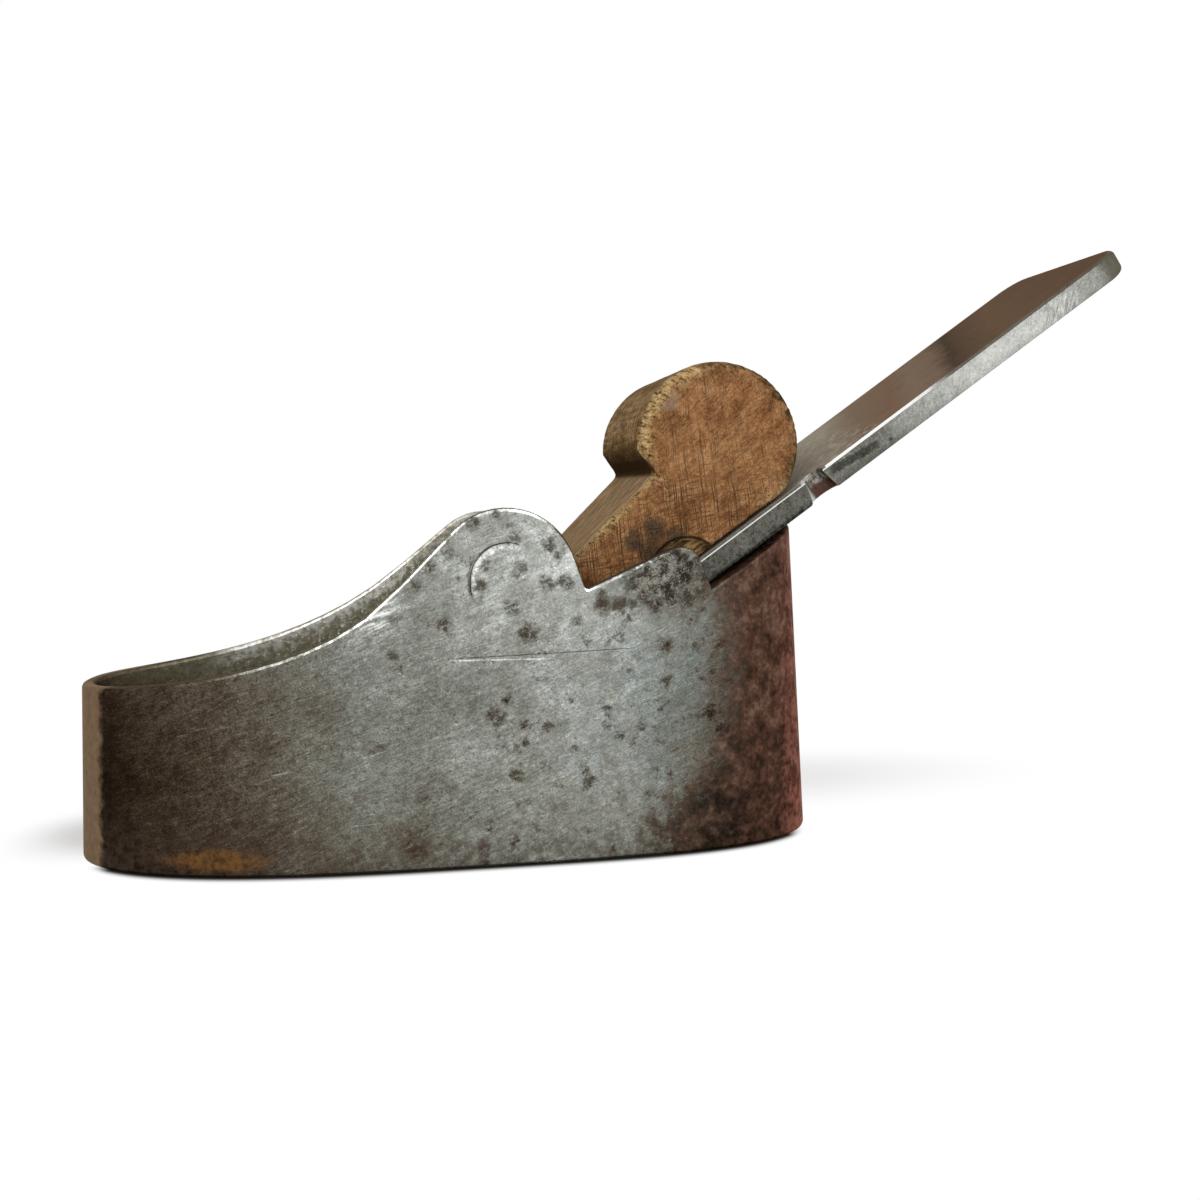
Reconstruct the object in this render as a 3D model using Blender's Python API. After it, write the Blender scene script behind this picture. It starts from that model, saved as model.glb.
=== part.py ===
# A small luthier's plane with a body bent from one iron strip.
# The strip is closed to a loop with a shaped rim. Two sole plates are let into its foot, and a round
# bar is riveted across its hump. A hardwood bed carries a thick iron, which a wooden wedge holds down.
# Units are metres with +Z up. +X runs from toe to heel, and the sole lies on z = 0.
# The origin is the middle of the sole.

import math

import bmesh
import bpy
import numpy as np
from mathutils import Matrix, Vector

MM = 0.001

# Clearance left between pieces that touch on the real plane
SEAT_GAP = 0.3 * MM
SLIDE_GAP = 0.3 * MM

# Band, seen from above: two half superellipses with upright or leaning ends
TOE_REACH = 50.3 * MM
HEEL_REACH = 50.2 * MM
BODY_WIDTH = 34.5 * MM
BAND_WALL = 1.7 * MM
TOE_LEAN = math.radians(2.0)
HEEL_LEAN = math.radians(4.0)
TOE_POWERS = (2.85, 2.32)
HEEL_POWERS = (3.69, 2.70)

# Band, seen from the side: the rim from toe to heel
TOE_HEIGHT = 23.2 * MM
TOE_RIM_SLOPE = math.radians(3.0)
TOE_RIM_PULL = 31.7 * MM
FAR_TOE_RIM_SLOPE = math.radians(1.5)
FAR_TOE_RIM_PULL = 26.0 * MM
FLANK_SLOPE = math.radians(46.0)
FAR_FLANK_SLOPE = math.radians(40.0)
FLANK_PULL = 5.4 * MM
FLANK_RUN = 9.0 * MM
HUMP_RADIUS = 9.1 * MM
FAR_HUMP_DROP = 0.9 * MM
REAR_FLANK_SLOPE = math.radians(71.0)
NOTCH_DROP = 1.4 * MM
NOTCH_RADIUS = 0.6 * MM
SHOULDER_SLOPE = math.radians(24.0)
SHOULDER_RUN = 12.4 * MM
EAR_RADIUS = 3.6 * MM
EAR_FALL = math.radians(35.0)
EAR_LIP_RADIUS = 0.9 * MM
SLOT_SLOPE = math.radians(66.0)
HEEL_RIM_SLOPE = math.radians(30.0)
HEEL_RIM_DROP = 0.3 * MM
RIM_ROUND = 0.45 * MM
RIM_ROUND_SHARE = 0.45
FOOT_ROUND = 0.4 * MM

# Cross bar
BAR_X = 5.2 * MM
BAR_Z = 37.0 * MM
BAR_RADIUS = 4.5 * MM
BAR_CHAMFER = 0.25 * MM

# Sole plates and mouth
SOLE_THICKNESS = 3.0 * MM
MOUTH_OPENING = 0.9 * MM
MOUTH_RELIEF = math.radians(20.0)

# Iron: its upper face meets the sole at MOUTH_X and rises towards the heel
MOUTH_X = -23.0 * MM
BED_ANGLE = math.radians(35.7)
IRON_SIDE_GAP = 2.1 * MM
IRON_WIDTH = BODY_WIDTH - 2 * BAND_WALL - 2 * IRON_SIDE_GAP
IRON_THICKNESS = 3.35 * MM
IRON_REACH = 141.5 * MM
IRON_SETBACK = 0.2 * MM
IRON_BEVEL = math.radians(25.0)
IRON_CORNER = 4.0 * MM
IRON_CHAMFER = 0.35 * MM
IRON_LOWER_CHAMFER = 0.2 * MM
IRON_END_ROUND = 0.9 * MM
NICK_STATION = 86.2 * MM
NICK_HALF_LENGTH = 1.4 * MM
NICK_HALF_LENGTH_BELOW = 2.2 * MM
NICK_DEPTH = 1.9 * MM

# Wooden bed under the iron
BED_FRONT_X = -7.0 * MM

# Wedge: the taper passes under the bar, and the round head stands behind it
WEDGE_WIDTH = IRON_WIDTH - SLIDE_GAP
WEDGE_TAPER = math.radians(10.0)
WEDGE_TIP_STATION = 14.0 * MM
WEDGE_TIP_ROUND = 1.2 * MM
HEAD_STATION = 77.9 * MM
HEAD_RISE = 10.7 * MM
HEAD_RADIUS = 11.15 * MM
HEAD_FRONT_STATION = 68.6 * MM
COVE_RADIUS = 0.8 * MM
WEDGE_ARRIS = 0.8 * MM

# Facets
END_STEPS = 22
CURVE_STEPS = 200
ARC_STEP = math.radians(7.5)
BAR_SIDES = 48
NICK_STEPS = 8
IRON_ROUND_STEPS = 3
IRON_CORNER_STEPS = 8
SHARP_ANGLE = math.radians(32.0)
SIDE_FACING = 0.9

# Looks: colour, roughness and share of metal
BAND_LOOK = ((0.33, 0.32, 0.29, 1.0), 0.45, 1.0)
SOLE_LOOK = ((0.38, 0.37, 0.34, 1.0), 0.35, 1.0)
BAR_LOOK = ((0.33, 0.32, 0.29, 1.0), 0.4, 1.0)
BED_LOOK = ((0.16, 0.08, 0.04, 1.0), 0.6, 0.0)
BLADE_LOOK = ((0.47, 0.47, 0.45, 1.0), 0.3, 1.0)
WEDGE_LOOK = ((0.31, 0.16, 0.07, 1.0), 0.5, 0.0)


def clear_scene():
    for old in list(bpy.data.objects):
        bpy.data.objects.remove(old, do_unlink=True)


def make_material(name, look):
    colour, roughness, metallic = look
    material = bpy.data.materials.new(name)
    material.use_nodes = True
    shader = material.node_tree.nodes["Principled BSDF"]
    shader.inputs["Base Color"].default_value = colour
    shader.inputs["Roughness"].default_value = roughness
    shader.inputs["Metallic"].default_value = metallic
    return material


def make_object(name, mesh_data, material=None):
    """Turn a bmesh into a named object in the scene, with its faces pointing out."""
    bmesh.ops.recalc_face_normals(mesh_data, faces=mesh_data.faces)
    mesh = bpy.data.meshes.new(name)
    mesh_data.to_mesh(mesh)
    mesh_data.free()
    mesh.shade_smooth()
    mesh.set_sharp_from_angle(angle=SHARP_ANGLE)
    made = bpy.data.objects.new(name, mesh)
    bpy.context.scene.collection.objects.link(made)
    if material is not None:
        mesh.materials.append(material)
    return made


def cut(target, cutter):
    """Take the cutter's volume out of the target, and keep the cutter as a hidden guide."""
    cutter.hide_render = True
    cutter.display_type = "WIRE"
    boolean = target.modifiers.new("cut_" + cutter.name, "BOOLEAN")
    boolean.operation = "DIFFERENCE"
    boolean.solver = "EXACT"
    boolean.object = cutter


def arc(centre, radius, start, end):
    """Return points along an arc, from one angle to the other, both ends included."""
    steps = max(2, math.ceil(abs(end - start) / ARC_STEP))
    points = []
    for step in range(steps + 1):
        angle = start + (end - start) * step / steps
        points.append(centre + radius * Vector((math.cos(angle), math.sin(angle))))
    return points


def direction(angle):
    return Vector((math.cos(angle), math.sin(angle)))


def corner_arc(corner, angle_in, angle_out, radius):
    """Round the corner where a line at angle_in turns to angle_out, tangent to both."""
    turn = angle_out - angle_in
    reach = radius * math.tan(abs(turn) / 2)
    side = math.copysign(1.0, turn)
    start = corner - reach * direction(angle_in)
    centre = start + radius * direction(angle_in + side * math.pi / 2)
    first = angle_in - side * math.pi / 2
    return arc(centre, radius, first, first + turn)


def crossing(point_a, angle_a, point_b, angle_b):
    """Return the point where two lines meet, each given by a point and an angle."""
    way_a = direction(angle_a)
    way_b = direction(angle_b)
    between = point_b - point_a
    share = between.cross(way_b) / way_a.cross(way_b)
    return point_a + share * way_a


def reach_at(end, height):
    """Return how far the band runs from the origin to its toe (-1) or heel (+1) at a height."""
    if end < 0:
        return TOE_REACH - math.tan(TOE_LEAN) * height
    return HEEL_REACH - math.tan(HEEL_LEAN) * height


def plan_point(fraction, inset, height):
    """Return x and half-width on the band's plan, drawn in by inset, at a share of its reach."""
    end = -1 if fraction < 0 else 1
    along, across = TOE_POWERS if end < 0 else HEEL_POWERS
    reach = reach_at(end, height)
    half = BODY_WIDTH / 2
    share = min(abs(fraction), 1.0)
    rise = (1.0 - share ** along) ** (1.0 / across)
    normal = Vector((along * share ** (along - 1.0) / reach, across * rise ** (across - 1.0) / half))
    normal.normalize()
    return Vector((end * (reach * share - inset * normal.x), half * rise - inset * normal.y))


def end_fractions(end, innermost):
    """Return shares of the reach from the band's tip inwards, closest together round its corners."""
    along = (TOE_POWERS if end < 0 else HEEL_POWERS)[0]
    last = math.acos(abs(innermost) ** (along / 2))
    return [end * math.cos(last * step / END_STEPS) ** (2 / along) for step in range(END_STEPS + 1)]


def hump_centre(sign):
    """Return the middle of the hump's arc: the near one is round the bar, the far one a little lower."""
    drop = FAR_HUMP_DROP if sign > 0 else 0.0
    return Vector((BAR_X, BAR_Z - drop))


def flank_slope(sign):
    """Return the slope of the rim in front of the hump: the far side is filed a little flatter."""
    return FAR_FLANK_SLOPE if sign > 0 else FLANK_SLOPE


def toe_rim(sign):
    """Return the rim from the toe's tip to the foot of the flank as (fraction, height) pairs."""
    flank = direction(flank_slope(sign))
    tip_way = direction(FAR_TOE_RIM_SLOPE if sign > 0 else TOE_RIM_SLOPE)
    tip_pull = FAR_TOE_RIM_PULL if sign > 0 else TOE_RIM_PULL
    hump_start = hump_centre(sign) + HUMP_RADIUS * direction(math.pi / 2 + flank_slope(sign))
    flank_foot = hump_start - FLANK_RUN * flank
    tip = Vector((-reach_at(-1, TOE_HEIGHT), TOE_HEIGHT))
    tip_handle = tip + tip_pull * tip_way
    foot_handle = flank_foot - FLANK_PULL * flank
    shares = []
    heights = []
    for step in range(CURVE_STEPS + 1):
        t = step / CURVE_STEPS
        s = 1.0 - t
        point = s ** 3 * tip + 3 * s * s * t * tip_handle + 3 * s * t * t * foot_handle + t ** 3 * flank_foot
        shares.append(point.x / reach_at(-1, point.y))
        heights.append(point.y)
    return [(share, float(np.interp(share, shares, heights))) for share in end_fractions(-1, shares[-1])]


def bed_height(x):
    """Return the height of the iron's lower face above the sole at x."""
    return (x - MOUTH_X) * math.tan(BED_ANGLE) - IRON_THICKNESS / math.cos(BED_ANGLE)


def middle_outline(sign):
    """Return the rim's points from the hump to the foot of the iron's slot, seen from the side."""
    rear_start = math.pi / 2 - REAR_FLANK_SLOPE
    points = arc(hump_centre(sign), HUMP_RADIUS, math.pi / 2 + flank_slope(sign), rear_start)
    notch = crossing(points[-1], -REAR_FLANK_SLOPE, Vector((BAR_X, BAR_Z - NOTCH_DROP)), 0.0)
    points += corner_arc(notch, -REAR_FLANK_SLOPE, SHOULDER_SLOPE, NOTCH_RADIUS)
    ear_foot = notch + SHOULDER_RUN * direction(SHOULDER_SLOPE)
    ear_centre = ear_foot + EAR_RADIUS * direction(SHOULDER_SLOPE - math.pi / 2)
    ear = arc(ear_centre, EAR_RADIUS, math.pi / 2 + SHOULDER_SLOPE, math.pi / 2 - EAR_FALL)
    points += ear
    lip_turn = SLOT_SLOPE - EAR_FALL
    lip_centre = ear[-1] - EAR_LIP_RADIUS * direction(math.pi / 2 - EAR_FALL)
    lip = arc(lip_centre, EAR_LIP_RADIUS, math.pi / 2 - EAR_FALL, math.pi / 2 - EAR_FALL - lip_turn)
    points += lip[1:]
    on_bed = Vector((0.0, bed_height(0.0) - HEEL_RIM_DROP / math.cos(BED_ANGLE)))
    points.append(crossing(lip[-1], -SLOT_SLOPE, on_bed, BED_ANGLE))
    return points


def heel_rim(slot_foot):
    """Return the rim from the foot of the slot to the heel's tip as (fraction, height) pairs."""
    rise = math.tan(HEEL_RIM_SLOPE)
    lean = math.tan(HEEL_LEAN)
    first = slot_foot.x / reach_at(1, slot_foot.y)
    pairs = []
    for share in reversed(end_fractions(1, first)):
        height = (slot_foot.y + rise * (share * HEEL_REACH - slot_foot.x)) / (1.0 + share * lean * rise)
        pairs.append((share, height))
    return pairs


def band_stations(sign):
    """Return (fraction, rim height) pairs along one side, from the toe's tip to the heel's tip."""
    middle = middle_outline(sign)
    stations = toe_rim(sign)
    for point in middle[:-1]:
        stations.append((point.x / reach_at(math.copysign(1, point.x), point.y), point.y))
    return stations + heel_rim(middle[-1])


def band_section(height):
    """Return the strip's cross-section as (inset, height) pairs, with its rim and foot rounded."""
    rim = min(RIM_ROUND, BAND_WALL * RIM_ROUND_SHARE)
    mid_round = 1.0 - math.cos(math.pi / 4)
    return [
        (FOOT_ROUND, 0.0),
        (FOOT_ROUND * mid_round, FOOT_ROUND * mid_round),
        (0.0, FOOT_ROUND),
        (0.0, height - rim),
        (rim * mid_round, height - rim * mid_round),
        (rim, height),
        (BAND_WALL - rim, height),
        (BAND_WALL - rim * mid_round, height - rim * mid_round),
        (BAND_WALL, height - rim),
        (BAND_WALL, 0.0),
    ]


def build_band(material):
    """Bend the strip round the plan: one section at each station, down the near side and back."""
    loop = [(fraction, height, -1) for fraction, height in band_stations(-1)]
    loop += [(fraction, height, 1) for fraction, height in reversed(band_stations(1)[1:-1])]
    mesh_data = bmesh.new()
    rings = []
    for fraction, height, sign in loop:
        ring = []
        for inset, level in band_section(height):
            plan = plan_point(fraction, inset, level)
            ring.append(mesh_data.verts.new((plan.x, sign * plan.y, level)))
        rings.append(ring)
    for ring, following in zip(rings, rings[1:] + rings[:1]):
        for index in range(len(ring)):
            near = (index + 1) % len(ring)
            mesh_data.faces.new((ring[index], following[index], following[near], ring[near]))
    band = make_object("body_band", mesh_data, material)
    cut(band, make_rod("bar_hole", BAR_RADIUS + SEAT_GAP, 2 * BODY_WIDTH))
    return band


def make_rod(name, radius, length, material=None):
    """Make a round rod across the body at the bar's place, with its end corners chamfered."""
    inner = radius - BAR_CHAMFER
    flat = length / 2 - BAR_CHAMFER
    turns = [direction(2 * math.pi * side / BAR_SIDES) for side in range(BAR_SIDES)]
    mesh_data = bmesh.new()
    rings = []
    for radial, offset in ((inner, -length / 2), (radius, -flat), (radius, flat), (inner, length / 2)):
        rings.append([mesh_data.verts.new((radial * turn.x, offset, radial * turn.y)) for turn in turns])
    for ring, following in zip(rings, rings[1:]):
        for side in range(BAR_SIDES):
            near = (side + 1) % BAR_SIDES
            mesh_data.faces.new((ring[side], ring[near], following[near], following[side]))
    mesh_data.faces.new(rings[0])
    mesh_data.faces.new(rings[-1])
    rod = make_object(name, mesh_data, material)
    rod.location = (BAR_X, 0.0, BAR_Z)
    return rod


def build_cross_bar(material):
    share = BAR_X / reach_at(1, BAR_Z)
    length = 2 * plan_point(share, 0.0, BAR_Z).y
    return make_rod("cross_bar", BAR_RADIUS, length, material)


def make_slab(name, bottom, top, material):
    """Make a slab that fills the band's inside from one height to the other."""
    inset = BAND_WALL + SEAT_GAP
    shares = end_fractions(-1, 0.0) + list(reversed(end_fractions(1, 0.0)))[1:]
    loop = [(share, -1) for share in shares] + [(share, 1) for share in reversed(shares[1:-1])]
    mesh_data = bmesh.new()
    rings = []
    for height in (bottom, top):
        plans = [(plan_point(share, inset, height), sign) for share, sign in loop]
        rings.append([mesh_data.verts.new((plan.x, sign * plan.y, height)) for plan, sign in plans])
    count = len(loop)
    for index in range(count):
        near = (index + 1) % count
        mesh_data.faces.new((rings[0][index], rings[0][near], rings[1][near], rings[1][index]))
    mesh_data.faces.new(rings[0])
    mesh_data.faces.new(rings[1])
    return make_object(name, mesh_data, material)


def make_prism(name, outline, width, material=None):
    """Extrude a side outline of (x, z) points across the body."""
    mesh_data = bmesh.new()
    near = [mesh_data.verts.new((point[0], -width / 2, point[1])) for point in outline]
    far = [mesh_data.verts.new((point[0], width / 2, point[1])) for point in outline]
    count = len(outline)
    for index in range(count):
        following = (index + 1) % count
        mesh_data.faces.new((near[index], near[following], far[following], far[index]))
    mesh_data.faces.new(near)
    mesh_data.faces.new(far)
    return make_object(name, mesh_data, material)


def build_toe_sole(material):
    """The front plate ends at the mouth, with its edge relieved upwards for shavings."""
    plate = make_slab("toe_sole", 0.0, SOLE_THICKNESS, material)
    edge = MOUTH_X - MOUTH_OPENING
    over = SOLE_THICKNESS
    lean = math.tan(MOUTH_RELIEF)
    behind = [
        (edge + over * lean, -over),
        (2 * HEEL_REACH, -over),
        (2 * HEEL_REACH, SOLE_THICKNESS + over),
        (edge - (SOLE_THICKNESS + over) * lean, SOLE_THICKNESS + over),
    ]
    cut(plate, make_prism("mouth_front", behind, 2 * BODY_WIDTH))
    return plate


def bed_x(height):
    """Return where the bed that carries the iron stands at a height."""
    below = (IRON_THICKNESS + SLIDE_GAP) / math.sin(BED_ANGLE)
    return MOUTH_X + below + height / math.tan(BED_ANGLE)


def build_heel_sole(material):
    """The rear plate starts with a bevel in line with the bed."""
    plate = make_slab("heel_sole", 0.0, SOLE_THICKNESS, material)
    over = SOLE_THICKNESS
    ahead = [
        (-2 * TOE_REACH, -over),
        (bed_x(-over), -over),
        (bed_x(SOLE_THICKNESS + over), SOLE_THICKNESS + over),
        (-2 * TOE_REACH, SOLE_THICKNESS + over),
    ]
    cut(plate, make_prism("mouth_rear", ahead, 2 * BODY_WIDTH))
    return plate


def build_bed_block(material):
    """The wooden bed lies in line with the rear plate's bevel and stops below the heel's rim."""
    slot_foot = middle_outline(-1)[-1]
    foot = SOLE_THICKNESS + SEAT_GAP
    top = slot_foot.y + HEEL_REACH * math.tan(HEEL_RIM_SLOPE)
    block = make_slab("bed_block", foot, top, material)
    slot_drop = slot_foot.y - SLIDE_GAP
    over = 2 * HEEL_REACH
    above = [
        (-over, 0.0),
        (BED_FRONT_X, 0.0),
        (BED_FRONT_X, (BED_FRONT_X - bed_x(0.0)) * math.tan(BED_ANGLE)),
        (bed_x(slot_drop), slot_drop),
        (over, slot_drop + (over - bed_x(slot_drop)) * math.tan(HEEL_RIM_SLOPE)),
        (over, 2 * over),
        (-over, 2 * over),
    ]
    cut(block, make_prism("bed_face", above, 2 * BODY_WIDTH))
    return block


def bed_frame():
    """Return the frame of the iron's upper face: x up the bed, y across, z out of the face."""
    turn = Matrix.Rotation(-BED_ANGLE, 4, "Y")
    return Matrix.Translation((MOUTH_X, 0.0, 0.0)) @ turn


def iron_rounds():
    """Return the iron's arrises, from its upper face down, as side and end (inset, level) pairs."""
    rounds = []
    for step in range(IRON_ROUND_STEPS + 1):
        share = step / IRON_ROUND_STEPS
        turn = share * math.pi / 2
        end = (IRON_END_ROUND * (1.0 - math.sin(turn)), IRON_END_ROUND * (math.cos(turn) - 1.0))
        rounds.append(((IRON_CHAMFER * (1.0 - share), -IRON_CHAMFER * share), end))
    lower = IRON_LOWER_CHAMFER / IRON_CHAMFER
    for (inset, level), (end_inset, end_level) in list(reversed(rounds)):
        side = (inset * lower, -IRON_THICKNESS - level * lower)
        rounds.append((side, (end_inset, -IRON_THICKNESS - end_level)))
    return rounds


def iron_side(side, end):
    """Return one side of an outline round the iron, from its edge to its end, as points in its frame."""
    inset, level = side
    half = IRON_WIDTH / 2
    spread = NICK_HALF_LENGTH_BELOW - NICK_HALF_LENGTH
    nick_half = NICK_HALF_LENGTH - spread * level / IRON_THICKNESS + inset
    points = [Vector((IRON_SETBACK - level / math.tan(IRON_BEVEL), half - inset, level))]
    for step in range(NICK_STEPS + 1):
        angle = math.pi * step / NICK_STEPS
        along = NICK_STATION - nick_half * math.cos(angle)
        points.append(Vector((along, half - inset - NICK_DEPTH * math.sin(angle), level)))
    for step in range(IRON_CORNER_STEPS + 1):
        share = step / IRON_CORNER_STEPS
        radius = IRON_CORNER - inset - (end[0] - inset) * share
        turn = direction(math.pi / 2 * (1.0 - share))
        along = IRON_REACH - IRON_CORNER + radius * turn.x
        points.append(Vector((along, half - IRON_CORNER + radius * turn.y, level + (end[1] - level) * share)))
    return points


def build_blade(material):
    """Loft the iron through outlines from its upper face to its lower one, behind the ground bevel."""
    mesh_data = bmesh.new()
    rings = []
    for side, end in iron_rounds():
        points = iron_side(side, end)
        ring = [mesh_data.verts.new((point.x, -point.y, point.z)) for point in points]
        ring += [mesh_data.verts.new(point) for point in reversed(points)]
        rings.append(ring)
    for ring, following in zip(rings, rings[1:]):
        for index in range(len(ring)):
            near = (index + 1) % len(ring)
            mesh_data.faces.new((ring[index], ring[near], following[near], following[index]))
    mesh_data.faces.new(rings[0])
    mesh_data.faces.new(rings[-1])
    blade = make_object("blade", mesh_data, material)
    blade.matrix_world = bed_frame()
    return blade


def wedge_outline():
    """Return the wedge's side outline as (station up the iron, height above its face)."""
    bar = bed_frame().inverted() @ Vector((BAR_X, 0.0, BAR_Z))
    touch = Vector((bar.x, bar.z)) - (BAR_RADIUS + SLIDE_GAP) * direction(WEDGE_TAPER + math.pi / 2)
    upright = math.pi / 2
    tip_corner = crossing(touch, WEDGE_TAPER, Vector((WEDGE_TIP_STATION, 0.0)), upright)
    cove_corner = crossing(touch, WEDGE_TAPER, Vector((HEAD_FRONT_STATION, 0.0)), upright)
    head = Vector((HEAD_STATION, HEAD_RISE))
    front = math.pi - math.acos((HEAD_STATION - HEAD_FRONT_STATION) / HEAD_RADIUS)
    foot = -math.asin((HEAD_RISE - SLIDE_GAP) / HEAD_RADIUS)
    points = [Vector((WEDGE_TIP_STATION, SLIDE_GAP))]
    points += corner_arc(tip_corner, upright, WEDGE_TAPER, WEDGE_TIP_ROUND)
    points += corner_arc(cove_corner, WEDGE_TAPER, upright, COVE_RADIUS)
    points += arc(head, HEAD_RADIUS, front, foot)
    return points


def build_wedge(material):
    """Extrude the wedge's outline and ease its long arrises."""
    wedge = make_prism("wedge", wedge_outline(), WEDGE_WIDTH, material)
    mesh_data = bmesh.new()
    mesh_data.from_mesh(wedge.data)
    side_faces = [face for face in mesh_data.faces if abs(face.normal.y) > SIDE_FACING]
    arrises = {edge for face in side_faces for edge in face.edges}
    bmesh.ops.bevel(mesh_data, geom=list(arrises), offset=WEDGE_ARRIS, segments=2, profile=0.5,
                    affect="EDGES", clamp_overlap=True)
    mesh_data.to_mesh(wedge.data)
    mesh_data.free()
    wedge.data.shade_smooth()
    wedge.data.set_sharp_from_angle(angle=SHARP_ANGLE)
    wedge.matrix_world = bed_frame()
    return wedge


def build_plane():
    clear_scene()
    build_band(make_material("band_iron", BAND_LOOK))
    sole = make_material("sole_iron", SOLE_LOOK)
    build_toe_sole(sole)
    build_heel_sole(sole.copy())
    build_cross_bar(make_material("bar_iron", BAR_LOOK))
    build_bed_block(make_material("bed_wood", BED_LOOK))
    build_blade(make_material("blade_steel", BLADE_LOOK))
    build_wedge(make_material("wedge_wood", WEDGE_LOOK))


build_plane()
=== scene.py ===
# The looks of a small luthier's plane: worn iron band, thick iron, wooden wedge.
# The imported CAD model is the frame. Lengths are millimetres, and MM turns them into metres.

import math

import bpy
from mathutils import Matrix, Vector, noise


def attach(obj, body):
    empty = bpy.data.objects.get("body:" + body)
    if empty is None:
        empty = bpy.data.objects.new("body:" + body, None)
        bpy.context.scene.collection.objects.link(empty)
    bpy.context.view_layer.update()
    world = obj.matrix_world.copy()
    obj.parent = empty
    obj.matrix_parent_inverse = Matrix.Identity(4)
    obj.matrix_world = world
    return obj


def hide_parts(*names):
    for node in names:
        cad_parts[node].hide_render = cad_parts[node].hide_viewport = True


MM = 0.001

# Camera, fitted to the photograph's edges
CAMERA_PLACE = (-7.908, -154.296, 47.937)
CAMERA_PITCH = 5.589
CAMERA_YAW = 10.352
CAMERA_LENS = 32.82
CAMERA_CLIP = 5.0
SENSOR_WIDTH = 36.0

# The iron's bed: its upper face leaves the sole at MOUTH_X and rises at BED_ANGLE
MOUTH_X = -23.0
BED_ANGLE = 35.7
BED_FRAME = Matrix.Translation((MOUTH_X, 0.0, 0.0)) @ Matrix.Rotation(math.radians(-BED_ANGLE), 4, "Y")

# Cross bar: its hole in the band, and the outer face of the near wall
BAR_X = 5.2
BAR_Z = 37.0
BAR_HOLE = 4.8
NEAR_WALL = -17.25

# Multiplies a place to drop what lies across the plane
SIDE_VIEW = (1.0, 0.0, 1.0)

# No surface has a gloss of its own over its colour
SPECULAR_LEVEL = 0.0

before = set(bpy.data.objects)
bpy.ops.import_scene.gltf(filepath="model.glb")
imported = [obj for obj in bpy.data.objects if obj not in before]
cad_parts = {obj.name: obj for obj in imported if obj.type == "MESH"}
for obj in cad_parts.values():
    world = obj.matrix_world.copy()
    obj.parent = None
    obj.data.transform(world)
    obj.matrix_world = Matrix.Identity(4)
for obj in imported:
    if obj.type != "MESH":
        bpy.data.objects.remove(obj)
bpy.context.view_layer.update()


def smooth(value, low, high):
    """0 to 1, gently, while value goes from low to high."""
    share = min(max((value - low) / (high - low), 0.0), 1.0)
    return share * share * (3.0 - 2.0 * share)


def add_object(name, data):
    thing = bpy.data.objects.new(name, data)
    bpy.context.scene.collection.objects.link(thing)
    return thing


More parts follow.
